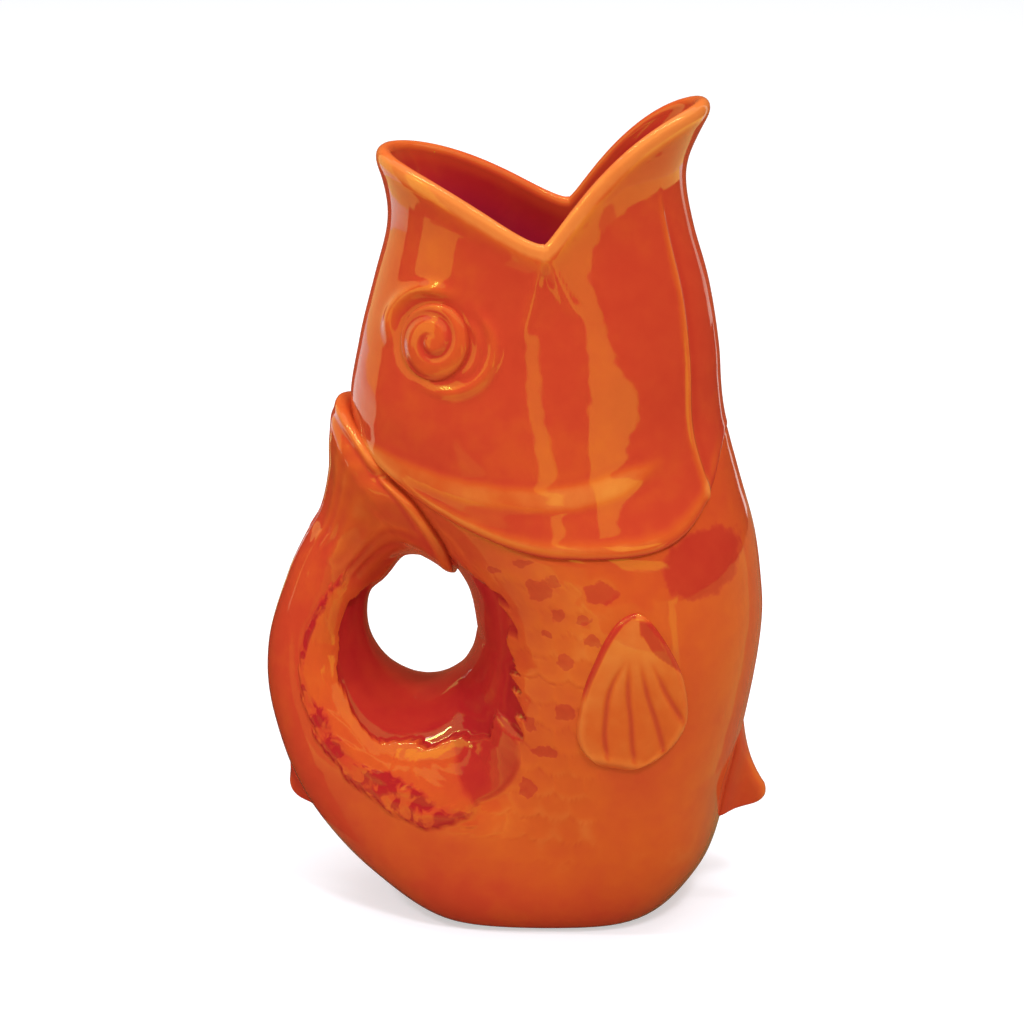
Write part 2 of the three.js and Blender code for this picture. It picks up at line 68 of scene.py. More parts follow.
flukeEnd = 28.0  # last station
underBelly, underTail = (11.0, 14.6), (15.2, 19.0)  # stations of the outline that the keel fins stand on


def ribTable():
    # one row to a station: back x, z, belly x, z, half width, squareness; trunk backs lie on the hole
    hx, hz, hw, hh = fish["hole"]
    head = np.array(fish["head"], float)
    trunk = np.array(fish["trunk"], float)
    fluke = np.array(fish["fluke"], float)
    turn = np.arctan2(trunk[:, 1] - hz, trunk[:, 0] - hx)
    reach = 1 / np.hypot(np.cos(turn) / hw, np.sin(turn) / hh)
    flat = np.zeros(len(head))
    top = np.stack([head[:, 1], head[:, 0], head[:, 2], head[:, 0], head[:, 3], flat], 1)
    mid = np.stack([hx + reach * np.cos(turn), hz + reach * np.sin(turn), *trunk.T], 1)
    end = np.stack([*fluke.T, np.zeros(len(fluke))], 1)
    return np.vstack([top, mid, end])


ribs = ribTable()


def ribAt(s):
    # Catmull-Rom through the ribs: a cubic between neighbours with slope half the chord across each
    n = len(ribs)
    s = np.clip(s, 0, n - 1)
    i = np.clip(np.floor(s).astype(int), 0, n - 2)
    t = (s - i)[..., None]
    p = np.vstack([2 * ribs[0] - ribs[1], ribs, 2 * ribs[-1] - ribs[-2]])
    a, b, c, d = p[i], p[i + 1], p[i + 2], p[i + 3]
    square, cube = 2 * a - 5 * b + 4 * c - d, 3 * b - a - 3 * c + d
    return .5 * (2 * b + (c - a) * t + square * t ** 2 + cube * t ** 3)


def fishPoint(s, phi, off=0.0):
    # an oval about the middle of each rib: long axis back to belly, half width across, squared at the belly
    q = ribAt(s)
    bx, bz, vx, vz, w, k = (q[..., j] for j in range(6))
    ax, az = (vx - bx) / 2, (vz - bz) / 2
    grow = 1 + off / np.hypot(ax, az)
    c = np.cos(phi)
    x = (bx + vx) / 2 + ax * grow * c
    y = (w + off) * np.sin(phi) * (1 + k * np.maximum(c, 0) ** 2)
    z = (bz + vz) / 2 + az * grow * c
    return np.stack(np.broadcast_arrays(x, y, z), -1)


def smooth(a, b, x):
    # smoothstep from a to b, either way round
    t = np.clip((x - a) / (b - a), 0, 1)
    return t * t * (3 - 2 * t)


def within(x, a, b, c, d):
    # rises from a to b, stays at one and falls from c to d
    return smooth(a, b, x) * smooth(d, c, x)


def hump(d, w):
    # bell of half width w
    return np.exp(-(d / w) ** 2)


def solve(f, lo, hi):
    # bisection of a whole array: f falls from plus to minus between lo and hi
    lo, hi = np.array(lo, float), np.array(hi, float)
    for _ in range(40):
        mid = (lo + hi) / 2
        up = f(mid) > 0
        lo, hi = np.where(up, mid, lo), np.where(up, hi, mid)
    return (lo + hi) / 2


def wobble(p, height, size, seed):
    # smooth seeded unevenness: seven sine waves about size long in seeded directions, about height in all
    rng = np.random.default_rng(seed)
    total = 0
    for _ in range(7):
        d = rng.normal(size=3)
        d *= 2 * math.pi / (size * np.linalg.norm(d) * rng.uniform(.7, 1.5))
        total = total + np.sin(p @ d + rng.uniform(0, 6.28))
    return height * total / 3.2


# Shift that centres the fish on its box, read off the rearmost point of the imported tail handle
tailStations = np.linspace(17, 20, 4000)
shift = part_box("tail_handle")[0].x * 1000 - fishPoint(tailStations, 0 * tailStations)[:, 0].min()
print("fish shifted by", round(shift, 3), "mm")

mouth = {
    "notch": (14.0, 215.3, 4.0),  # x, level, rounding
    "backLip": (.61, 16.0, 132.0, 5.5),  # slope, straight run, bend, flare
    "spout": (1.55, 5.0, 33.0, 7.4),
    "sideFlare": 2.0,
    "flareDepth": 13.0,
    "lip": 4.4,  # thickness at the rim
    "crown": 1.12,  # how much taller than a half circle the lip's edge is
    "roll": (.55, 1.2, 3.6),  # rolled edge outside: height, distance from the rim, half width
    "insideShade": (3, 26),  # depth below the rim where the painted shade inside, a wine red, starts and is full
}


def rimLevel(x):
    # two slopes that meet in a rounded V at the notch, each bending over past its straight run
    nx, nz, r = mouth["notch"]
    d = x - nx
    side = d < 0
    slope = np.where(side, mouth["backLip"][0], mouth["spout"][0])
    past = np.where(side, -d - mouth["backLip"][1], d - mouth["spout"][1])
    bend = np.where(side, mouth["backLip"][2], mouth["spout"][2])
    return nz + np.hypot(slope * d, r) - r - np.maximum(past, 0) ** 2 / (2 * bend)


def rimStation(phi):
    # station where the wall at each angle crosses the rim's level
    def above(s):
        p = fishPoint(s, phi)
        return p[..., 2] - rimLevel(p[..., 0])
    return solve(above, np.zeros_like(phi), np.full_like(phi, headEnd))


def flare(p, phi, rim):
    # the wall leans out near the rim, most at spout and back lip
    lean = np.cos(phi)
    tip = np.where(lean > 0, mouth["spout"][3], mouth["backLip"][3])
    amount = mouth["sideFlare"] + (tip - mouth["sideFlare"]) * np.abs(lean) ** 3
    below = np.maximum(rim - p[..., 2], 0) / mouth["flareDepth"]
    f = amount * np.exp(-below ** 1.5)
    return p + np.stack([f * lean, f * np.sin(phi), 0 * f], -1)


headStations = np.linspace(0, 9.3, 3000)
headLevels = fishPoint(headStations, 0 * headStations)[:, 2]


def stationAt(z):
    # station of a level on the head, read off a fine list of both
    return np.interp(z, headLevels[::-1], headStations[::-1])


def degrees(phi):
    # angle from the belly line, 0 to 180, the same on both sides
    return np.degrees(np.abs((phi + math.pi) % (2 * math.pi) - math.pi))


gill = {
    "edge": (126.5, 156.0, 155.0),  # level of the cover's edge at side, throat and nape
    "shown": (8, 38, 140, 176),  # angles between which the edge stands proud
    "proud": 1.25, "rise": 18.0,  # swelling of the cover over its edge
    "bead": (.42, 2.3, 2.2),  # rounded edge: height, level above the edge, half width
    "band": (143.0, 20.0, 9.0),  # upper band: level at the side, rise to the throat and to the nape
    "bandSize": (.3, 3.3), "bandShown": (43, 58, 150, 172),  # height, half width, angles
    "jaw": (31.5, 212.0, 236.0),  # ridge: angle from the belly line, levels where it starts to fade and ends
    "jawSize": (.95, 1.25), "jawReach": 27.0,  # height, half width; mm from the belly line to the ridge
    "breaks": {"bead": .62, "band": .55, "jaw": .7},  # how far the glaze thins on each ridge
    "pools": {"bead": .2, "band": .14, "jaw": .25},  # and gathers beside it
}


def gillEdge(phi):
    # level of the cover's lower edge: lowest at the side, rising in powers of the cosine to throat and nape
    c = np.cos(phi)
    side, throat, nape = gill["edge"]
    return side + (throat - side) * np.maximum(c, 0) ** 5 + (nape - side) * np.maximum(-c, 0) ** 2


def headRelief(p, phi):
    # sum of the modelled marks of the head; returns height in mm and how much the glaze breaks on it
    x, z = p[..., 0], p[..., 2]
    a = degrees(phi)
    c = np.cos(phi)
    above = z - gillEdge(phi)
    side = within(a, *gill["shown"])
    cover = gill["proud"] * smooth(gill["rise"], 0, above) * (.35 + .65 * side)
    h, at, w = gill["bead"]
    bead = h * hump(above - at, w) * side
    level, toThroat, toNape = gill["band"]
    mid = level + toThroat * np.maximum(c, 0) ** 2 + toNape * np.maximum(-c, 0) ** 2
    h, w = gill["bandSize"]
    w = w * (.35 + .65 * smooth(44, 66, a))
    band = h / (1 + (np.abs(z - mid) / w) ** 5) * within(a, *gill["bandShown"])
    angle, start, end = gill["jaw"]
    ring = a / angle - 1
    h, w = gill["jawSize"]
    fade = smooth(end, start, z) * smooth(-6, 3, above)
    fromJaw = ring * gill["jawReach"]
    jaw = (h * hump(fromJaw, w) - .35 * smooth(.03, -.06, ring)) * fade
    lids, socket, fold = eyeLids(x, z), eyeSocket(x, z), cornerFold(x, z)
    height = cover + bead + band + jaw + lids + socket + fold
    thin, pool = gill["breaks"], gill["pools"]
    breaking = thin["bead"] * bead / gill["bead"][0] - pool["bead"] * hump(above + .6, 1.3) * side
    breaking = breaking + thin["band"] * band / gill["bandSize"][0]
    breaking = breaking - pool["band"] * hump(np.abs(z - mid) - 4.8, 1.2) * smooth(*gill["bandShown"][:2], a)
    breaking = breaking + thin["jaw"] * hump(fromJaw, 1.5) * fade
    breaking = breaking - pool["jaw"] * hump(fromJaw + 3.2, 1.8) * fade
    return height, breaking + .3 * lids + .5 * socket + .4 * fold


eye = {
    "centre": (-19.4, 187.2), "radius": 11.6, "height": 2.5, "edge": .2,
    "turns": 1.55, "groove": .75, "start": 2.3,  # windings, depth, phase of the groove at the middle
    "grid": (44, 120),  # rings, columns
    "lidCentre": (3.8, -.4), "lidSize": (15.0, 13.8),  # lid oval: centre from the eye, half axes
    "lid": .9, "fold": .5,
    "brow": (1.8, 15.4, 2.1),  # height, radius about the eye, half width
    "moat": (.4, .6, 1.9),  # depth, distance outside the dome, half width
}


def eyeLids(x, z):
    # crescents on an oval round the eye, strongest in front of and under it, a fold inside, a brow over it
    ex, ez = x - eye["centre"][0], z - eye["centre"][1]
    dx, dz = ex - eye["lidCentre"][0], ez - eye["lidCentre"][1]
    ring = (np.hypot(dx / eye["lidSize"][0], dz / eye["lidSize"][1]) - 1) * 14  # about mm from the oval
    turn = np.arctan2(dz, dx)
    strong = smooth(-.35, .6, np.cos(turn + .75))
    inner = smooth(.25, .85, np.cos(turn + .1))
    h, r, w = eye["brow"]
    over = smooth(.35, .9, np.cos(np.arctan2(ez, ex) - 2.25))
    lids = eye["lid"] * hump(ring, 1.7) * strong + eye["fold"] * hump(ring + 4.4, 1.3) * inner
    return lids + h * hump(np.hypot(ex, ez) - r, w) * over


def eyeSocket(x, z):
    # a moat just outside the dome
    depth, at, w = eye["moat"]
    r = np.hypot((x - eye["centre"][0]) * 1.1, z - eye["centre"][1])
    return -depth * hump(r - eye["radius"] - at, w)


corner = {
    "top": (14.0, 215.0),  # x, level
    "left": (-8.0, 29.0), "right": (10.0, 20.0),  # each ridge: how far it runs along and down
    "height": .5, "half": 1.5, "crease": .5,
}


def cornerFold(x, z):
    # under the notch of the mouth: two ridges that spread as they run down, a short crease between them
    nx, nz = corner["top"]
    down = nz - z
    folds = 0 * x
    for run, fall in (corner["left"], corner["right"]):
        t = np.clip(down / fall, 0, 1)
        wide = corner["half"] * (.8 + t)
        folds = folds + hump(x - nx - run * t, wide) * smooth(1, .75, t) * (1 - .5 * t)
    crease = hump(x - nx - .4, 1.3 + .05 * np.maximum(down, 0)) * smooth(13, 6, down)
    return (corner["height"] * folds - corner["crease"] * crease) * smooth(-4, 2, down)


# Trunk marks: scales on the flank, dabs where the glaze pooled, and the frill round the finger hole
scales = {
    "pitch": (9.4, 7.6), "radius": 6.3, "height": .35, "pit": .12,  # pit: depth of a dab
    "flank": (-14, 34, 22, 121),  # where they show: x from, to, level from, to
    "dabs": [  # x, level, half length, half height
        (0, 119.6, 1.8, 1.2), (9.1, 123.5, 3.6, 1.6), (14.4, 115.6, 4.3, 2.9), (18.6, 118.6, 2.0, 1.6),
        (33.0, 115.3, 5.2, 3.6), (20.3, 108.0, 2.4, 2.2), (27.8, 107.1, 2.2, 1.4), (30.6, 100.4, 2.4, 1.8),
        (16.4, 101.2, 1.6, 1.2), (22.4, 93.6, 2.6, 2.6), (22.0, 77.0, 2.8, 2.6), (11.2, 71.0, 2.2, 2.0),
        (15.3, 63.0, 4.6, 2.0), (10.4, 49.8, 3.4, 2.8), (62.0, 120.5, 11.0, 10.0)],
}


def scaleRelief(x, z):
    # overlapping discs in staggered rows, each rising to its lower edge; the upper row lies on top
    px, pz = scales["pitch"]
    r = scales["radius"]
    height = np.zeros_like(x)
    row = np.floor(z / pz)
    for step in (-1, 0, 1, 2):
        j = row + step
        cx = (np.round(x / px - .5 * (j % 2)) + .5 * (j % 2)) * px
        d = np.hypot(x - cx, (z - j * pz) * 1.1)
        rim = scales["height"] * (.25 + .75 * (d / r) ** 3) * smooth(r, r - .7, d)
        height = np.where((d < r) & (z < j * pz + 4.6), rim, height)
    x0, x1, z0, z1 = scales["flank"]
    return height * within(x, x0 - 6, x0 + 6, x1 - 8, x1 + 6) * within(z, z0 - 8, z0 + 12, z1 - 3, z1 + 3)


def dabRelief(x, z):
    # shallow pits, sharp-edged ovals
    deep = np.zeros_like(x)
    for cx, cz, rx, rz in scales["dabs"]:
        deep = np.maximum(deep, smooth(1.12, .86, np.hypot((x - cx) / rx, (z - cz) / rz)))
    return deep


frill = {  # station and angle of the outer edge, of the seam in the band and of the inner edge
    "outer": [(8.2, 136), (8.7, 127), (9.5, 130), (10.0, 134), (11.3, 127), (12.1, 122), (12.6, 117),
              (13.1, 111), (13.8, 108), (14.3, 106), (14.6, 98), (15.3, 93), (15.9, 91), (16.7, 88),
              (17.6, 81), (18.3, 78), (18.9, 78), (19.6, 84), (20.4, 96), (21.2, 106)],
    "seam": [(14.3, 106), (14.6, 109), (15.2, 113), (16.3, 110), (17.0, 105), (17.6, 97), (18.2, 91),
             (18.8, 87), (19.6, 92), (20.4, 108), (21.2, 120)],
    "inner": [(8.2, 139), (10.0, 131), (11.8, 131), (13.3, 132), (14.4, 136), (15.3, 137), (16.2, 128),
              (17.2, 121), (17.8, 122), (18.6, 123), (19.4, 126), (20.1, 133), (20.6, 146), (21.2, 160)],
    "shown": (8.0, 8.6, 20.4, 21.4),  # stations
    "proud": 1.3, "wall": 1.5,  # height of the band and depth of the wall inside it, mm
    "barb": 6.0, "tooth": 9.0, "nick": 2.2,  # reach of the leaves, teeth and nicks in the edge, degrees
    "leaf": .42,  # height of the leaves, mm
    "breaks": {"patch": .42, "leaf": .12},  # how far the glaze is lightened: on the patch as a painted reflection, on the leaves as thin glaze
    "pools": {"fringe": .3, "lobe": .55, "wall": .74},  # and how far it darkens on the rest; on the wall this is pooled glaze and painted shade
}


def saw(t):
    # a tooth that climbs slowly and falls over the last fifth of its length
    t = t % 1
    return t - smooth(.8, 1, t)


def frillRelief(s, phi):
    # a torn band between two edges round the hole, with a sunk wall inside it, dark with pooled glaze and
    # painted
    # shade: a red lobe in front, a smooth patch under the hole painted light as a reflection and, past a
    # wavering seam, a mottled fringe of overlapping barbed leaves
    a = degrees(phi)
    edges = (np.array(frill[key], float).T for key in ("outer", "seam", "inner"))
    outer, seam, inner = (np.interp(s, *edge) for edge in edges)
    u, w = s * 13.5, (a - 110) * .8  # mm round the hole and across the band
    swayU = u + 2.4 * np.sin(w / 3.7 + .6) + 2.0 * np.sin(u / 5.9 + w / 6.1)
    swayW = w + 1.8 * np.sin(u / 4.3 + 1.0) + 1.3 * np.sin(u / 9.7 - w / 5)
    leaf = saw(swayU / 8.8 + swayW * .05)
    nick = saw(swayU / 4.3 - swayW * .07 + .3 * np.sin(u / 11))
    tooth = saw(s / .64 + .15 + .12 * np.sin(s * 5)) * smooth(12.9, 12.3, s)
    leafy = smooth(14.2, 14.6, s)  # the leaves start behind the lobe
    outer = outer - frill["barb"] * (leaf - .4) * (.65 + .35 * np.sin(s * 1.9)) * leafy
    outer = outer - frill["tooth"] * (tooth - .3) - frill["nick"] * (nick - .4) * leafy
    inner = inner + 2.0 * np.sin(swayU / 3.3) - 2.0 * (nick - .4)
    seam = seam + 3.0 * np.sin(swayU / 4.1) + 4.0 * (leaf - .4)
    on = within(s, *frill["shown"])
    front = smooth(12.8, 12.4, s)  # here the wall meets the flank without a band
    wide = np.clip((inner - outer) / 14, 0, 1) * (1 - front)
    band = smooth(outer - .8, outer + 1.6, a) * smooth(inner + 1.8, inner - 1.8, a) * wide
    across = np.clip((a - outer) / np.maximum(inner - outer, 1), 0, 1)
    crown = 4 * across * (1 - across)
    edge = np.minimum(inner, outer + 6 * (1 - front))
    wall = smooth(edge - .6, edge + .9, a) * (1 - band)
    lobe = smooth(14.56, 14.36, s + .04 * np.sin(a / 4))
    fringe = smooth(seam + 1.5, seam - 1.5, a) * (1 - lobe)
    flakes = 1.2 * (leaf - .35) + .6 * (nick - .4) + .3 * np.sin(swayW / 1.5 + swayU / 4.6)
    flakes = flakes * (.45 + .55 * fringe) * (1 - .7 * smooth(17.4, 18.6, s)) * (1 - .65 * lobe)
    height = band * (frill["proud"] * (.6 + .4 * crown) + frill["leaf"] * flakes * (.35 + .65 * crown))
    height = height - frill["wall"] * wall * (1 - .9 * smooth(146, 176, a))
    thin, pool = frill["breaks"], frill["pools"]
    # painted reflection: the smooth patch is lightened; pooled glaze and painted shade: the wall is darkened
    light = thin["patch"] * (1 - fringe) * (1 - lobe) - pool["fringe"] * fringe - pool["lobe"] * lobe
    breaking = band * (light + thin["leaf"] * flakes) - pool["wall"] * wall
    return height * on, breaking * on, band * fringe * on


def trunkRelief(p, s, phi):
    # the frill, then scales less dabs where it leaves the flank clear; the glaze is lighter up the chest
    x, z = p[..., 0], p[..., 2]
    a = degrees(phi)
    torn, tornGlaze, mottle = frillRelief(s, phi)
    flank = smooth(52, 70, a) * smooth(16, 13.5, s)
    clear = np.clip(1 - np.abs(tornGlaze) * 3, 0, 1) * flank
    scale = scaleRelief(x, z) * clear
    height = torn + scale - scales["pit"] * dabRelief(x, z) * flank
    shoulder = .12 * smooth(88, 108, z) * within(a, 24, 44, 90, 104)
    bright = .3 * smooth(0, 30, z) * smooth(16.5, 14.5, s) * (1 - np.clip(np.abs(tornGlaze) * 4, 0, 1))
    return height, tornGlaze + .9 * scale - .08 * clear + shoulder + bright, mottle


def gridMesh(name, p, marks, wrapRows=False):
    # quads over a grid that wraps round its columns, and round its rows or to a fan at each end; marks are
    # values for the glaze at each point, none inside or bare unless given
    rows, cols = p.shape[:2]
    marks = {"inside": 0.0, "bare": 0.0, **marks}
    index = np.arange(rows * cols).reshape(rows, cols)
    low = index if wrapRows else index[:-1]
    high = np.roll(index, -1, 0) if wrapRows else index[1:]
    quads = np.stack([low, np.roll(low, -1, 1), np.roll(high, -1, 1), high], -1).reshape(-1, 4)
    points = p.reshape(-1, 3)
    values = {k: np.broadcast_to(v, (rows, cols)).reshape(-1) for k, v in marks.items()}
    faces = quads.tolist()
    if not wrapRows:
        n = rows * cols
        points = np.vstack([points, p[0].mean(0), p[-1].mean(0)])
        values = {k: np.append(v, [v[0], v[-1]]) for k, v in values.items()}
        first = np.stack([index[0], np.full(cols, n), np.roll(index[0], -1)], -1)
        last = np.stack([index[-1], np.roll(index[-1], -1), np.full(cols, n + 1)], -1)
        faces = faces + first.tolist() + last.tolist()
    return placeMesh(name, points, faces, values)


def placeMesh(name, points, faces, values):
    # millimetres to metres, moved by the shift; doubles merged, faces outwards, values kept as attributes
    mesh = bpy.data.meshes.new(name)
    world = (points + [shift, 0, 0]) / 1000
    mesh.from_pydata(world.tolist(), [], faces)
    for key, value in values.items():
        layer = mesh.attributes.new(key, "FLOAT", "POINT")
        layer.data.foreach_set("value", np.ascontiguousarray(value, np.float32))
    bm = bmesh.new()
    bm.from_mesh(mesh)
    bmesh.ops.remove_doubles(bm, verts=bm.verts, dist=1e-6)
    if bm.calc_volume(signed=True) < 0:
        bmesh.ops.reverse_faces(bm, faces=bm.faces)
    bm.to_mesh(mesh)
    bm.free()
    mesh.polygons.foreach_set("use_smooth", np.ones(len(mesh.polygons), bool))
    mesh.update()
    piece = bpy.data.objects.new(name, mesh)
    bpy.context.scene.collection.objects.link(piece)
    return piece


def columnAngles(n, focus, share, width):
    # n angles round the fish, closer together near the focus angles on both sides
    t = np.linspace(-180, 180, 7201)
    a = np.abs(t)
    dense = 1 + share * sum(hump(a - f, width) for f in focus)
    total = np.cumsum(dense)
    return np.radians(np.interp(np.arange(n) / n * total[-1], total, t))


# Head: outside from the rim to the gill edge, under the edge, up the inside and over the lip
headGrid = {
    "columns": 380, "rows": 128, "inner": 60, "lip": 9,
    "focus": ((31, 100), 1.2, 14),  # angles with closer columns, how much closer, half width
    "tuck": 9.0, "sink": .9,  # the inside wall ends this far below the edge, sunk into the trunk's wall
    "under": ((.5, .75), (.95, .2), (1.2, -.6), (1.3, -2.0)),  # rolled edge: drop, height kept or depth in
    "uneven": (.13, 46, 3),  # height, length, seed
}


def makeHead():
    # angles across and four stretches down: relief on the outer oval, the rolled edge, the offset inner oval
    # and half an ellipse over the lip
    phi = columnAngles(headGrid["columns"], *headGrid["focus"])
    rim = rimStation(phi)
    rimZ = fishPoint(rim, phi)[:, 2]
    edge = stationAt(gillEdge(phi))
    v = np.linspace(0, 1, headGrid["rows"])[:, None] ** 1.12
    s = rim + (edge - rim) * v
    plain = fishPoint(s, phi)
    height, glaze = headRelief(plain, phi)
    fromRim = rimZ - plain[..., 2]
    height = height + wobble(plain, *headGrid["uneven"]) * smooth(0, 9, fromRim)
    h, at, w = mouth["roll"]
    height = height + h * hump(fromRim - at, w)
    outer = flare(fishPoint(s, phi, height), phi, rimZ)
    # paler on and just under the rim, partly thin glaze and partly a painted highlight; a little darker
    # about 9 mm down
    glaze = glaze + .35 * hump(fromRim, 3.2) + .5 * hump(fromRim, 1.5) - .12 * hump(fromRim - 9, 4)
    under = []
    for drop, keep in headGrid["under"]:
        q = fishPoint(stationAt(gillEdge(phi) - drop), phi, np.where(keep > 0, height[-1] * keep, keep))
        under.append(q)
    innerEnd = stationAt(gillEdge(phi) - headGrid["tuck"])
    w = np.linspace(1, 0, headGrid["inner"])[:, None] ** 1.3
    si = rim + (innerEnd - rim) * w
    depth = rimZ - fishPoint(si, phi)[..., 2]
    wall = mouth["lip"] + (fish["wall"] - mouth["lip"]) * np.clip(depth / mouth["flareDepth"], 0, 1)
    wall = wall - headGrid["sink"] * smooth(.86, 1, w)
    inner = flare(fishPoint(si, phi, -wall), phi, rimZ)
    mid = (outer[0] + inner[-1]) / 2
    out = outer[0] - mid
    along = np.roll(mid, -1, 0) - np.roll(mid, 1, 0)
    up = np.cross(out, along)
    up *= np.linalg.norm(out, axis=-1, keepdims=True) / np.linalg.norm(up, axis=-1, keepdims=True)
    up *= np.sign(up[:, 2:3])
    turn = np.linspace(math.pi, 0, headGrid["lip"] + 2)[1:-1, None, None]
    lip = mid + np.cos(turn) * out + mouth["crown"] * np.sin(turn) * up
    p = np.concatenate([outer, np.stack(under), inner, lip])
    # the lip pales toward its outer edge, partly thin glaze and partly a painted highlight
    crest = np.linspace(.35, .9, headGrid["lip"])[:, None] + 0 * phi
    shadow = np.zeros((len(under), len(phi)))
    # inside, painted shade: darker glaze just below the rim that turns wine red with depth
    zone = np.concatenate([0 * s, shadow, smooth(*mouth["insideShade"], depth), 0 * crest])
    breaking = np.concatenate([glaze, shadow - .5, -.8 * smooth(0, 5, depth), crest])
    return gridMesh("head_casting", p, {"breaking": breaking, "inside": zone}, wrapRows=True)


# Trunk: inside of the belly and tail, over a hidden top edge, outside down round the foot, tail and fluke
trunkGrid = {
    "columns": 312, "shoulder": 26, "rows": 170, "fluke": 56, "inner": 44,
    "focus": ((90, 122), 1.5, 20),  # angles with closer columns, how much closer, half width
    "start": 6.0,  # how far the trunk reaches up under the gill cover
    "tuck": .6,  # how far that reach lies in under the cover
    "recess": 1.5,  # depth under the foot
    "uneven": (.2, 52, 5),  # height, length, seed
}
fluke = {
    "rim": (2.0, 3.2, 2.8),  # rolled edge on the nape: height, distance from the nape, half width
    "knob": .5,  # extra height of the roll at its top
    "streak": .15, "dive": 1.6,  # height of the ribs, depth of the end inside the nape
    "notch": (67, 4.0),  # angle of the cleft between the two lobes and its half width
    "bow": 4.2,  # how far the lower lobe bows out over the gill cover
    "hole": (2.6, 21.4, 1.0),  # thickening at the top of the finger hole: height, station, half width
}


def levelOval(z):
    # the plain head at a level: middle, half length, half width
    q = ribAt(stationAt(z))
    return (q[..., 0] + q[..., 2]) / 2, (q[..., 2] - q[..., 0]) / 2, q[..., 4]


def headGap(p):
    # how far outside the plain head a point lies: plus outside, minus inside, along its level oval
    mid, half, width = levelOval(p[..., 2])
    return (np.hypot((p[..., 0] - mid) / half, p[..., 1] / width) - 1) * half


def napeTangent(line):
    # along the plain head, square to the line where the fluke meets it and toward the face
    rise = np.stack([headGap(line + e) - headGap(line - e) for e in .05 * np.eye(3)], -1)
    t = np.cross(rise, np.roll(line, -1, 0) - np.roll(line, 1, 0))
    t /= np.linalg.norm(t, axis=-1, keepdims=True)
    return t * np.where(t[:, :1] < 0, -1, 1)


def footed(p):
    # the foot: levels below zero close on the table, the middle lifts into a recess
    z = p[..., 2]
    flat = (z + np.sqrt(z * z + 4)) / 2 - .25 * smooth(0, 3, -z)
    lift = trunkGrid["recess"] * smooth(2.6, 3.8, -z)
    q = p.copy()
    q[..., 2] = np.maximum(flat, 0) * smooth(4, 1, -z) + lift
    return q, within(-z, .6, 1.4, 2.8, 3.4)  # the ring that stands on the table is bare


def makeTrunk():
    # angles across and three stretches down, each with its relief: under the gill cover, round the hole to
    # the tail, and out to where the fluke meets the plain head; a cap and the offset inner wall close it
    phi = columnAngles(trunkGrid["columns"], *trunkGrid["focus"])
    top = stationAt(gillEdge(phi) + trunkGrid["start"])
    start = headEnd + .5
    coverRows = top + (start - top) * np.linspace(0, 1, trunkGrid["shoulder"])[:, None]
    tailRows = np.linspace(start, tailEnd, trunkGrid["rows"] + 1)[1:, None] + 0 * phi
    nearest, farthest = np.full_like(phi, tailEnd + .6), np.full_like(phi, flukeEnd)
    last = solve(lambda t: headGap(fishPoint(t, phi)), nearest, farthest)
    a = degrees(phi)
    u = np.linspace(0, 1, trunkGrid["fluke"] + 1)[1:, None]
    flukeRows = tailEnd + (last - tailEnd) * (1 - (1 - u) ** 1.35)
    s = np.concatenate([coverRows, tailRows, flukeRows])
    plain = fishPoint(s, phi)
    height, glaze, mottle = trunkRelief(plain, s, phi)
    below = gillEdge(phi) - plain[..., 2]
    hidden = smooth(2, -1, below) * (s < start)
    height = height * smooth(-1.5, 7, below) - trunkGrid["tuck"] * hidden
    h, at, w = fluke["hole"]
    height = height + h * hump(s - at, w) * smooth(122, 178, a)
    gap = np.full_like(s, 60.0)
    gap[-len(flukeRows):] = np.linalg.norm(plain[-len(flukeRows):] - plain[-1], axis=-1)  # mm from the nape
    h, at, w = fluke["rim"]
    notch, notchHalf = fluke["notch"]
    cleft = hump(a - notch, notchHalf)
    w = w + 1.0 * smooth(70, 90, a)
    roll = hump(gap - at, w) * (1 - .8 * cleft) * smooth(0, 1.2, gap) * smooth(172, 138, a)
    h = h + fluke["knob"] * smooth(48, 20, a)
    groove = hump(gap - at - 2.6, 1.3)
    streak = fluke["streak"] * np.sin(a * .33 + 1.2 * np.sin(a * .11)) * within(gap, 3, 12, 45, 60)
    height = height + h * roll - .35 * groove + streak - .8 * smooth(1, 0, gap)
    glaze = glaze + .45 * roll - .4 * groove + .1 * within(gap, 5, 10, 24, 40) + .6 * streak
    height = height + wobble(plain, *trunkGrid["uneven"])
    outer, bare = footed(fishPoint(s, phi, height))
    lobe = within(a, notch, 88, 110, 150)
    outer = outer + (fluke["bow"] * lobe * smooth(18, 3, gap))[..., None] * napeTangent(plain[-1])
    end = napeCap(outer[-1], phi)
    tailToBelly = np.linspace(tailEnd - .5, start, trunkGrid["inner"])[:, None] + 0 * phi
    si = np.concatenate([tailToBelly, coverRows[::-6]])
    inner = fishPoint(si, phi, -fish["wall"] + .25)
    inner[..., 2] = np.maximum(inner[..., 2], fish["floor"])
    p = np.concatenate([inner, outer, end])
    zone, cap = np.ones(si.shape), np.zeros(end.shape[:2])
    # the inner wall is painted shade: darker glaze, all of it wine red
    marks = {
        "breaking": np.concatenate([-.3 * zone, glaze, cap]),
        "inside": np.concatenate([zone, 0 * s, cap]),
        "bare": np.concatenate([0 * zone, bare, cap]),
        "torn": np.concatenate([0 * zone, mottle, cap]),
    }
    return gridMesh("trunk_casting", p, marks)


def napeCap(ring, phi):
    # closes the fluke inside the wall of the nape: straight lines to the middle plane, under the plain head
    mirror = np.stack([np.interp(-phi, phi, ring[:, j], period=2 * math.pi) for j in range(3)], -1)
    mid = (ring + mirror) / 2
    mid[:, 1] = 0
    rows = []
    for t in (.0, .35, .7, 1.0):
        q = ring + (mid - ring) * t
        c, half, width = levelOval(q[:, 2])
        q[:, 0] = c - half * np.sqrt(np.clip(1 - (q[:, 1] / width) ** 2, .05, 1)) + fluke["dive"]
        rows.append(q)
    return np.stack(rows)


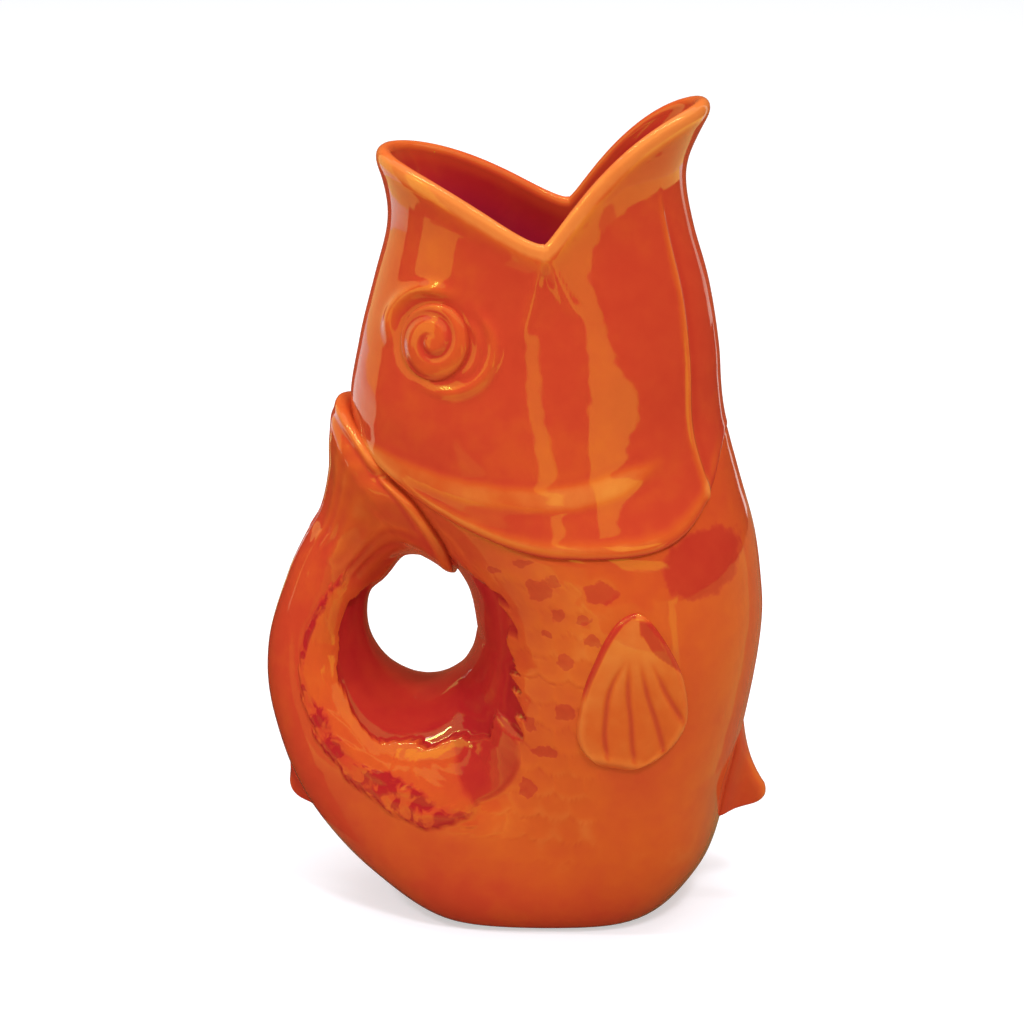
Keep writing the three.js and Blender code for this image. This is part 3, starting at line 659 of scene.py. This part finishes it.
def onSide(x, z):
    # station and angle of a place in side view on the near side, by Newton steps; returns point and normal
    s = stationAt(np.maximum(z, 92.0))
    phi = np.full_like(s, -math.pi / 2)
    for _ in range(30):
        p = fishPoint(s, phi)
        ds = (fishPoint(s + 1e-3, phi) - p) / 1e-3
        da = (fishPoint(s, phi + 1e-3) - p) / 1e-3
        ex, ez = x - p[..., 0], z - p[..., 2]
        det = ds[..., 0] * da[..., 2] - da[..., 0] * ds[..., 2]
        s = s + np.clip((ex * da[..., 2] - da[..., 0] * ez) / det, -.5, .5)
        phi = phi + np.clip((ds[..., 0] * ez - ex * ds[..., 2]) / det, -.3, .3)
    n = np.cross(da, ds)
    n /= np.linalg.norm(n, axis=-1, keepdims=True)
    return p, n * np.where(n[..., 1:2] > 0, -1, 1)


def patch(x, z, lean):
    # a place in a patch on the near side: along and up from its origin, then out along the normal
    _, n = onSide(np.array([float(x)]), np.array([float(z)]))
    n = n[0]
    along = np.array([-n[1], n[0], 0]) / math.hypot(n[0], n[1])
    up = np.cross(n, along)
    up = up if up[2] > 0 else -up
    c, d = math.cos(math.radians(lean)), math.sin(math.radians(lean))

    def place(a, b, h):
        m, k = a * c - b * d, a * d + b * c
        p, q = onSide(x + along[0] * m + up[0] * k, z + along[2] * m + up[2] * k)
        return p + q * h[..., None]
    return place


# Eyes: domes with a groove that winds in to the middle
def makeEye(name, side):
    # radius and angle on the cheek: an elliptic dome less a groove, a wave whose phase grows with the radius
    place = patch(*eye["centre"], 0)
    rings, cols = eye["grid"]
    r = np.concatenate([np.linspace(.02, 1.1, rings), np.linspace(1.1, .3, 4)])[:, None]
    t = np.linspace(0, 2 * math.pi, cols, endpoint=False)[None, :] + 0 * r
    dome = eye["edge"] + (eye["height"] - eye["edge"]) * np.sqrt(np.clip(1 - (r / 1.02) ** 2, 0, 1))
    wave = .5 - .5 * np.cos(t - eye["turns"] * 2 * math.pi * np.minimum(r, 1) ** .9 + eye["start"])
    cut = eye["groove"] * wave ** 2.6 * within(r, .08, .3, .9, 1.02)
    h = dome - cut - 2.2 * smooth(.96, 1.1, r)
    h[rings:] = -2.5  # the back, inside the cheek
    p = place(r * eye["radius"] * np.cos(t), r * eye["radius"] * np.sin(t), h)
    breaking = .3 - .75 * cut / eye["groove"] - .2 * smooth(.92, 1.02, r) + 0 * t
    return gridMesh(name, p * [1, -side, 1], {"breaking": breaking})


# Pectoral fins: scallops hung from the narrow end, with grooves that spread from it
pectoral = {
    "top": (46.0, 109.0), "length": 52.0, "half": 17.5, "lean": -9.5,
    "height": 2.6, "groove": .75, "rim": .3,
    "grid": (84, 110),  # rows, columns on the face
    # each groove: mm right of the middle line at .35, .6 and .85 of the length
    "grooves": ((-5.5, -8.6, -5.2), (-2.8, -1.3, 3.5), (1.4, 6.0, 13.4), (5.9, 13.9, 24.0)),
}


def makePectoral(name, side):
    # length and width on the flank: a drop-shaped outline, a body that rises round its edge as a quarter
    # circle, and grooves along parabolas
    place = patch(*pectoral["top"], pectoral["lean"])
    rows, cols = pectoral["grid"]
    v = (.5 - .5 * np.cos(np.linspace(.09, math.pi - .06, rows)))[:, None]
    face = np.sin(np.linspace(-math.pi / 2, math.pi / 2, cols))
    u = np.concatenate([face, np.linspace(.9, -.9, 12)])[None, :] + 0 * v
    spread = v ** .55 * np.sqrt(1 - v ** 3)
    half = pectoral["half"] * spread / spread.max()
    rim = np.minimum((1 - np.abs(u)) * half, (1 - v) * pectoral["length"] * .8)  # mm in from the edge
    rim = np.minimum(rim, v * pectoral["length"] * .9 + .6)
    body = pectoral["height"] * np.sqrt(np.clip(1 - (1 - np.clip(rim / 2.8, 0, 1)) ** 2, 0, 1))
    t = (v - .6) / .25
    near = np.full(u.shape, 99.0)  # mm from the nearest groove
    for a, b, c in pectoral["grooves"]:
        line = b + t * (c - a) / 2 + t * t * ((c + a) / 2 - b)
        near = np.minimum(near, np.abs(u * half - line))
    shown = within(v, .24, .5, .86, .97) * smooth(.8, 3.4, rim)
    cut = pectoral["groove"] * shown * (.6 * hump(near, .8) + .4 * hump(near, 2.2))
    edge = pectoral["rim"] * hump(rim - 2.2, 1.3) * smooth(.4, .75, v)
    h = body - cut + edge - 1.1
    h[:, cols:] = -1.8  # the back, inside the flank
    slant = -2.2 * smooth(.4, 0, v) - 4.5 * smooth(.6, 1.05, v)
    p = place(u * half + slant, -v * pectoral["length"] + 0 * u, h)
    breaking = .55 - .7 * shown * hump(near, .8) + .2 * edge / pectoral["rim"]
    wedge = 6.6 * smooth(.37, .2, v)  # pooled glaze down one shoulder and a thin streak down the other
    streak = smooth(wedge + .5, wedge - .5, rim) * within(v, .03, .06, .35, .38) * smooth(.05, .2, u)
    streak = streak + smooth(2.6, 1.8, rim) * smooth(.62, .48, v) * smooth(-.1, -.3, u)
    breaking = breaking - 1.1 * streak
    return gridMesh(name, p * [1, -side, 1], {"breaking": breaking})


# Keel fins: flaps in the plane of symmetry with a fillet at the root
keel = {
    "pelvic_flap": {"side": 1, "top": 58.0, "tip": 33.0, "reach": 14.3, "heel": 25.0},
    "anal_flap": {"side": -1, "top": 43.0, "tip": 28.0, "reach": 10.0, "heel": 16.8},
    "half": 3.5, "depth": 9.0, "tipRound": 5.0, "root": 10.0,
    "grid": (90, 72),  # rows along the edge, columns round the flap
}


def keelLine(level, side):
    # x where the outline under the belly or under the tail crosses a level
    s = np.linspace(*(underBelly if side > 0 else underTail), 4000)
    p = fishPoint(s, 0 * s)
    order = np.argsort(p[:, 2])
    return np.interp(level, p[order, 2], p[order, 0])


def keelPoint(level, side):
    return np.array([keelLine(level, side), level])


def bend(a, b, c, t):
    # quadratic curve from a to c, drawn toward b
    return (1 - t) ** 2 * a + 2 * t * (1 - t) * b + t ** 2 * c


def makeKeelFin(name):
    # free edge: a bowed front, a rounded tip and a straight heel; at each place along it a flat loop runs
    # out from inside the body, rounded at the edge and thicker where it leaves the body
    fin = keel[name]
    side = fin["side"]
    shoulder, heel = keelPoint(fin["top"], side), keelPoint(fin["heel"], side)
    tip = keelPoint(fin["tip"], side) + [side * fin["reach"], 0]
    inner = heel - [side * keel["root"], 0]
    before = tip + (shoulder - tip) * (keel["tipRound"] / np.linalg.norm(shoulder - tip))
    after = tip + (inner - tip) * (keel["tipRound"] / np.linalg.norm(inner - tip))
    t = np.linspace(0, 1, 80)[:, None]
    front = bend(shoulder, shoulder + (before - shoulder) * [.2, .6], before, t)
    line = np.vstack([front, bend(before, tip, after, t)[1:], after + (inner - after) * t[1:]])
    run = np.append(0, np.cumsum(np.linalg.norm(np.diff(line, axis=0), axis=1)))
    rows, cols = keel["grid"]
    w = np.linspace(0, run[-1], rows)
    edge = np.stack([np.interp(w, run, line[:, j]) for j in range(2)], -1)
    z = np.clip(edge[:, 1], fin["heel"], fin["top"])
    root = np.stack([keelLine(z, side) - side * keel["depth"], edge[:, 1] + (z - edge[:, 1]) * .5], -1)
    turn = np.linspace(0, 2 * math.pi, cols, endpoint=False)[None, :]
    out = (np.cos(turn) + 1) / 2  # 1 at the free edge, 0 at the buried root
    q = root[:, None] + (edge - root)[:, None] * (out ** .75)[..., None]
    body = (q[..., 0] - keelLine(q[..., 1], side)) * side  # mm outside the body's outline, measured level
    thick = keel["half"] * np.sin(turn) / np.maximum(np.abs(np.sin(turn)), 1e-9)
    thick = thick * np.sqrt(np.clip(1 - (2 * np.clip(out, .5, 1) - 1) ** 6, 0, 1)) * smooth(0, .06, out)
    thick = thick * (1 + 1.1 * hump(body, 3.0))
    p = np.stack([q[..., 0], thick, q[..., 1]], -1)
    breaking = .45 * smooth(.86, 1.0, out) - .35 * hump(body - 1.5, 2.2)
    return gridMesh(name, p, {"breaking": breaking})


head = makeHead()
trunk = makeTrunk()
print("castings:", len(head.data.polygons), len(trunk.data.polygons), "faces")
eyes = [makeEye("eye_dome_right", -1), makeEye("eye_dome_left", 1)]
pectorals = [makePectoral("pectoral_scallop_right", -1), makePectoral("pectoral_scallop_left", 1)]
keels = [makeKeelFin("pelvic_flap"), makeKeelFin("anal_flap")]
print("fins and eyes:", [len(o.data.polygons) for o in eyes + pectorals + keels])

# Glaze: colour breaks by thickness, deep red where it pools, orange on flats, yellow-orange on edges; inside
# the jug a wine red is painted as shade
glazeLook = {
    "pooled": (.44, .016, .016), "deep": (.53, .036, .016), "flat": (.59, .053, .018),
    "thin": (.66, .092, .016), "edge": (.75, .195, .036),
    # the wine red is painted shade for the inside of the jug
    "insideShade": (.52, .014, .062), "biscuit": (.72, .58, .44),
    "tint": (.72, 1.0, .08), "level": .72,  # colour and strength of what the gloss reflects
    "ior": 1.4, "rough": .06, "coat": .15,
}


def addNode(tree, kind, name, place, inputs, **settings):
    # a shader node at its place in the editor; each input takes a value, or a link if it is given an output
    node = tree.nodes.new("ShaderNode" + kind)
    node.name = name
    node.location = place
    for key, value in settings.items():
        setattr(node, key, value)
    feed(tree, node, inputs)
    return node.outputs


def feed(tree, node, inputs):
    # sets or links a node's inputs, by name or number
    for key, value in inputs.items():
        if isinstance(value, bpy.types.NodeSocket):
            tree.links.new(value, node.inputs[key])
        else:
            node.inputs[key].default_value = value


def addMarks(tree, coords, thickness):
    # dark dabs where a roughened place lies in an oval, under one radius from its middle, and crisp mottling
    # on the frill
    rough = addNode(tree, "TexNoise", "rough", (-1700, 900), {"Vector": coords, "Scale": 260})
    sway = addNode(tree, "VectorMath", "sway", (-1500, 900),
                   {0: rough["Color"], 1: (.005,) * 3, 2: (-.0025,) * 3}, operation="MULTIPLY_ADD")
    place = addNode(tree, "VectorMath", "place", (-1300, 900), {0: sway[0], 1: coords}, operation="ADD")
    near = None
    for i, (cx, cz, rx, rz) in enumerate(scales["dabs"]):
        y = 900 + 40 * i
        oval = addNode(tree, "VectorMath", f"oval{i}", (-1080, y),
                       {0: place[0], 1: (1000 / rx, 0, 1000 / rz), 2: (-(cx + shift) / rx, 0, -cz / rz)},
                       operation="MULTIPLY_ADD")
        far = addNode(tree, "VectorMath", f"far{i}", (-900, y), {0: oval[0]}, operation="LENGTH")["Value"]
        if near is None:
            near = far
        else:
            near = addNode(tree, "Math", f"least{i}", (-720, y), {0: near, 1: far}, operation="MINIMUM")[0]
    dab = addNode(tree, "MapRange", "dab", (-520, 900), {0: near, 1: .86, 2: 1.1, 3: -.34, 4: 0},
                  interpolation_type="SMOOTHSTEP")
    patchy = addNode(tree, "TexNoise", "patchy", (-1080, 760),
                     {"Vector": coords, "Scale": 190, "Detail": 2, "Distortion": .7})
    crisp = addNode(tree, "MapRange", "crisp", (-860, 760),
                    {0: patchy["Fac"], 1: .45, 2: .56, 3: -.3, 4: .24}, interpolation_type="SMOOTHSTEP")
    torn = addNode(tree, "Attribute", "torn", (-860, 620), {}, attribute_name="torn")
    mottle = addNode(tree, "Math", "mottle", (-660, 700), {0: torn["Fac"], 1: crisp[0], 2: dab[0]},
                     operation="MULTIPLY_ADD")
    return addNode(tree, "Math", "marks", (-560, 480), {0: mottle[0], 1: thickness}, operation="ADD")[0]


def makeGlaze(name, dabbed=False):
    # thickness of the glaze from the relief and two noises, through a ramp of colours; a wine red painted
    # inside as shade, clay where it is bare
    mat = bpy.data.materials.new(name)
    mat.use_nodes = True
    tree = mat.node_tree
    coords = addNode(tree, "TexCoord", "where", (-1500, 0), {})["Object"]
    cloud = addNode(tree, "TexNoise", "cloud", (-1280, 200), {"Vector": coords, "Scale": 22, "Detail": 3})
    fleck = addNode(tree, "TexNoise", "fleck", (-1280, -60), {"Vector": coords, "Scale": 150, "Detail": 4})
    relief = addNode(tree, "Attribute", "breaking", (-1280, 460), {}, attribute_name="breaking")
    thickness = None
    sources = (("relief", relief, .5, .5), ("cloud", cloud, .56, -.28), ("fleck", fleck, .22, -.11))
    for i, (source, outputs, gain, add) in enumerate(sources):
        scaled = addNode(tree, "Math", source + "Part", (-1060, 460 - 200 * i),
                         {0: outputs["Fac"], 1: gain, 2: add}, operation="MULTIPLY_ADD")[0]
        if thickness is None:
            thickness = scaled
        else:
            thickness = addNode(tree, "Math", source + "Sum", (-1040 + 180 * i, 420 - 60 * i),
                                {0: thickness, 1: scaled}, operation="ADD")[0]
    if dabbed:
        thickness = addMarks(tree, coords, thickness)
    addNode(tree, "ValToRGB", "thickness", (-500, 300), {"Fac": thickness})
    ramp = tree.nodes["thickness"]
    stops = ramp.color_ramp.elements
    stops[0].position, stops[1].position = .05, .97
    stops[0].color = (*glazeLook["pooled"], 1)
    stops[1].color = (*glazeLook["edge"], 1)
    for at, key in ((.28, "deep"), (.5, "flat"), (.72, "thin")):
        stops.new(at).color = (*glazeLook[key], 1)
    inside = addNode(tree, "Attribute", "inside", (-500, 20), {}, attribute_name="inside")["Fac"]
    bare = addNode(tree, "Attribute", "bare", (-500, -180), {}, attribute_name="bare")["Fac"]
    # painted shade: the inside turns wine red
    insideShade = addNode(tree, "Mix", "insideShade", (-200, 240),
                   {0: inside, 6: ramp.outputs["Color"], 7: (*glazeLook["insideShade"], 1)}, data_type="RGBA")
    clay = addNode(tree, "Mix", "clay", (0, 200), {0: bare, 6: insideShade[2], 7: (*glazeLook["biscuit"], 1)},
                   data_type="RGBA")
    gloss = addNode(tree, "Math", "gloss", (-200, -60),
                    {0: fleck["Fac"], 1: .06, 2: glazeLook["rough"] - .03}, operation="MULTIPLY_ADD")
    dull = addNode(tree, "Mix", "dull", (0, -40), {0: bare, 2: gloss[0], 3: .85}, data_type="FLOAT")
    ripple = addNode(tree, "TexNoise", "ripple", (-700, -300), {"Vector": coords, "Scale": 70, "Detail": 2})
    peel = addNode(tree, "Bump", "peel", (-200, -300),
                   {"Height": ripple["Fac"], "Strength": .16, "Distance": .0016})
    feed(tree, tree.nodes["Principled BSDF"], {
        "Base Color": clay[2], "Roughness": dull[0], "Normal": peel["Normal"],
        "Specular Tint": (*glazeLook["tint"], 1), "Specular IOR Level": glazeLook["level"],
        "IOR": glazeLook["ior"], "Coat Weight": glazeLook["coat"], "Coat Roughness": .03})
    return mat


bodyGlaze = makeGlaze("orange_body_glaze", True)
finGlaze = makeGlaze("orange_fin_glaze")
eyeGlaze = makeGlaze("orange_eye_glaze")
dressing = [
    (head, bodyGlaze, "body_glaze", ["body_shell"]),
    (trunk, bodyGlaze, "body_glaze", ["body_shell", "tail_handle", "tail_fin"]),
    (eyes[0], eyeGlaze, "eye_glaze", ["eye_right"]),
    (eyes[1], eyeGlaze, "eye_glaze", ["eye_left"]),
    (pectorals[0], finGlaze, "fin_glaze", ["pectoral_fin_right"]),
    (pectorals[1], finGlaze, "fin_glaze", ["pectoral_fin_left"]),
    (keels[0], finGlaze, "fin_glaze", ["pelvic_fin"]),
    (keels[1], finGlaze, "fin_glaze", ["anal_fin"]),
]
for piece, finish, slotName, nodes in dressing:
    piece.data.materials.append(finish)
    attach(piece, "root")
    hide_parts(*nodes)
print("glaze on", len(dressing), "pieces")

# Studio: white floor and surround, a dark curved wall with light panels before the jug, dark flags behind it
cardPoints = 49
darkCloth = ((1, 1, 1), (.02, .02))  # colour and strengths of a card that is nearly black
studio = {
    "floor": (.62, .62, .62), "floorGlow": (.55, .55, .55), "floorHalf": 6.0,
    "lift": .9,  # how much of the floor's white is its own for the camera
    "ambient": .57,  # world light on the object
    "lamp": (.86, .9, 1.0),  # colour of the softboxes
    "lamps": [  # name, place, point aimed at, size, power, seen in the glaze
        ("key_softbox", (-1.0, -.55, 1.25), (0, 0, .12), (.16, .16), 7, True),
        ("top_strip", (0, .05, 1.5), (0, 0, .12), (1.8, .025), 11, True),
        ("front_softbox", (.55, -1.0, 1.5), (0, 0, .14), (.3, .3), 15, False),
        ("back_fill", (-.4, 1.1, 1.2), (0, 0, .12), (.6, .6), 5, False)],
    "slant": {"left_panel": (-5, 0), "right_panel": (23.5, 31)},  # azimuths of a top unlike its foot's
    # name, azimuths from the front, radii of foot and top, levels of foot ends and top, colour, strengths
    "cards": [
        ("left_wall", (-95, -70), (.60, .60), (0, 0, .60), *darkCloth),
        ("cheek_wall", (-70, -45), (.60, .60), (.10, .10, .60), *darkCloth),
        ("front_wall", (-45, 45), (.60, .60), (.125, .125, .60), *darkCloth),
        ("right_wall", (45, 135), (.60, .60), (.145, .10, .60), *darkCloth),
        ("warm_band", (-70, 56), (.65, .65), (0, 0, .30), (1.1, 1, .35), (.45, .45)),
        ("right_band", (56, 135), (.65, .65), (0, 0, .30), (1.2, 1, .3), (1.5, 1.5)),
        ("hip_card", (56, 108), (.13, .13), (0, 0, .112), (1.1, 1, .35), (.45, .45)),
        ("edge_card", (108, 150), (.13, .13), (0, 0, .112), (1, .5, .25), (.4, .4)),
        ("jaw_card", (58, 125), (.13, .13), (.112, .112, .176), *darkCloth),
        ("gill_card", (-70, -36), (.25, .25), (.10, .10, .152), *darkCloth),
        ("cheek_card", (-80, -42), (.13, .13), (.12, .12, .186), *darkCloth),
        ("chin_card", (-46, -20), (.13, .13), (.165, .165, .205), *darkCloth),
        ("left_panel", (3.5, 12.5), (.25, .25), (.165, .165, .218), (1.2, 1, .3), (1.5, 1.3)),
        ("right_panel", (30, 59), (.25, .25), (.15, .15, .225), (1.2, 1, .3), (1.7, 1.4)),
        ("side_panel", (-75, -49), (.25, .25), (.14, .14, .60), (1.3, 1, .3), (1.0, 3.0)),
        ("left_glow", (-140, -95), (.60, .60), (.13, .13, .60), (1.25, 1, .4), (1, 1)),
        ("low_card", (-125, -68), (.25, .25), (0, 0, .10), (1, .35, .25), (.06, .06)),
        # dark flags behind the jug; their feet reach in over the floor to it, so in reflections they also
        # paint the floor's shadow behind it
        ("back_flag", (132, 235), (.095, .30), (0, 0, .55), (1, .27, .12), (.34, .34)),
        ("tail_flag", (235, 268), (.095, .17), (0, 0, .13), (1, .3, .15), (.10, .10)),
        # painted shadow: these rings, dark by the foot and brightening outward through far_mat, stand in for
        # the floor shaded round the jug
        ("painted_shadow_under", (-180, 180), (.01, .045), (4e-4, 4e-4, 4e-4), (1, .8, .5), (.05, .05)),
        ("painted_shadow_near", (-180, 180), (.045, .17), (4e-4, 4e-4, 4e-4), (1.1, 1, .45), (.05, .45)),
        ("far_mat", (-180, 180), (.17, .64), (4e-4, 4e-4, 4e-4), (1.1, 1, .4), (.45, 1.3)),
        ("left_mat", (-130, -62), (.08, .25), (6e-4, 6e-4, 6e-4), (1, .35, .2), (.08, .08))],
}


def card(name, turn, radius, levels, colour, strengths):
    # an arc about the jug, seen only in reflections, ruled from its foot to its top and shaded between them
    foot = np.radians(np.linspace(*turn, cardPoints))
    top = np.radians(np.linspace(*studio["slant"].get(name, turn), cardPoints))
    low = np.linspace(*levels[:2], cardPoints)
    rows = [np.stack([np.sin(foot) * radius[0], -np.cos(foot) * radius[0], low], -1),
            np.stack([np.sin(top) * radius[1], -np.cos(top) * radius[1], levels[2] + 0 * top], -1)]
    o = stageMesh(name, np.vstack(rows), (0, 0, 0), colour)
    shade = o.data.attributes.new("shade", "FLOAT", "POINT")
    shade.data.foreach_set("value", np.repeat(np.array(strengths, np.float32), cardPoints))
    tree = o.data.materials[0].node_tree
    read = addNode(tree, "Attribute", "shade", (-300, 0), {}, attribute_name="shade")
    feed(tree, tree.nodes["Principled BSDF"], {"Emission Strength": read["Fac"]})
    o.visible_camera = False
    o.visible_diffuse = False
    o.visible_shadow = False


def stageMesh(name, p, colour, glow):
    # a strip of quads between two rows of points, matt, with a glow of its own
    mesh = bpy.data.meshes.new(name)
    n = len(p) // 2
    faces = [(i, i + 1, n + i + 1, n + i) for i in range(n - 1)]
    mesh.from_pydata(np.array(p, float).tolist(), [], faces)
    mat = bpy.data.materials.new(name)
    mat.use_nodes = True
    feed(mat.node_tree, mat.node_tree.nodes["Principled BSDF"], {
        "Base Color": (*colour, 1), "Roughness": 1, "Specular IOR Level": 0, "Emission Color": (*glow, 1)})
    mesh.materials.append(mat)
    o = bpy.data.objects.new(name, mesh)
    bpy.context.scene.collection.objects.link(o)
    return o


def seenRays(tree):
    # 1 for rays that show the stage, from the camera, a gloss or through glass; 0 for light on the object
    path = addNode(tree, "LightPath", "path", (-900, 0), {})
    both = addNode(tree, "Math", "both", (-700, 0),
                   {0: path["Is Camera Ray"], 1: path["Is Glossy Ray"]}, operation="MAXIMUM")
    return addNode(tree, "Math", "seen", (-500, 0),
                   {0: both[0], 1: path["Is Transmission Ray"]}, operation="MAXIMUM")[0]


for spec in studio["cards"]:
    card(*spec)

far = studio["floorHalf"]
corners = [(-far, -far, 0), (far, -far, 0), (-far, far, 0), (far, far, 0)]
floor = stageMesh("floor", corners, studio["floor"], studio["floorGlow"])
tree = floor.data.materials[0].node_tree
lift = addNode(tree, "Math", "lift", (-300, 0), {0: seenRays(tree), 1: studio["lift"]}, operation="MULTIPLY")
feed(tree, tree.nodes["Principled BSDF"], {"Emission Strength": lift[0]})

world = bpy.data.worlds.new("surround")
bpy.context.scene.world = world
world.use_nodes = True
tree = world.node_tree
dim = studio["ambient"]
level = addNode(tree, "Math", "level", (-300, 0), {0: seenRays(tree), 1: 1 - dim, 2: dim},
                operation="MULTIPLY_ADD")
feed(tree, tree.nodes["Background"], {"Strength": level[0], "Color": (1, 1, 1, 1)})


def softbox(name, at, to, size, power, mirrored):
    # a rectangular lamp turned from its place to a point on the jug
    light = bpy.data.lights.new(name, "AREA")
    light.color = studio["lamp"]
    light.shape = "RECTANGLE"
    light.size, light.size_y = size
    light.energy = power
    o = bpy.data.objects.new(name, light)
    bpy.context.scene.collection.objects.link(o)
    o.location = at
    aim = np.array(to) - np.array(at)
    tilt = math.acos(-aim[2] / np.linalg.norm(aim))
    o.rotation_euler = (tilt, 0, math.atan2(aim[1], aim[0]) - math.pi / 2)
    o.visible_glossy = mirrored


for lamp in studio["lamps"]:
    softbox(*lamp)

# Camera at the photograph's angle
view = {
    "azimuth": 7.0, "elevation": 17.0, "distance": 1.2, "target": (0, 0, .1245),
    "lens": 135, "sensor": 36,
}
az, el = math.radians(view["azimuth"]), math.radians(view["elevation"])
away = np.array([math.sin(az) * math.cos(el), -math.cos(az) * math.cos(el), math.sin(el)])
lens = bpy.data.cameras.new("camera")
lens.lens = view["lens"]
lens.sensor_width = view["sensor"]
camera = bpy.data.objects.new("camera", lens)
bpy.context.scene.collection.objects.link(camera)
camera.location = np.array(view["target"]) + [shift / 1000, 0, 0] + away * view["distance"]
camera.rotation_euler = (math.pi / 2 - el, 0, az)
bpy.context.scene.camera = camera
bpy.context.scene.view_settings.view_transform = "Standard"
print("studio and camera set")
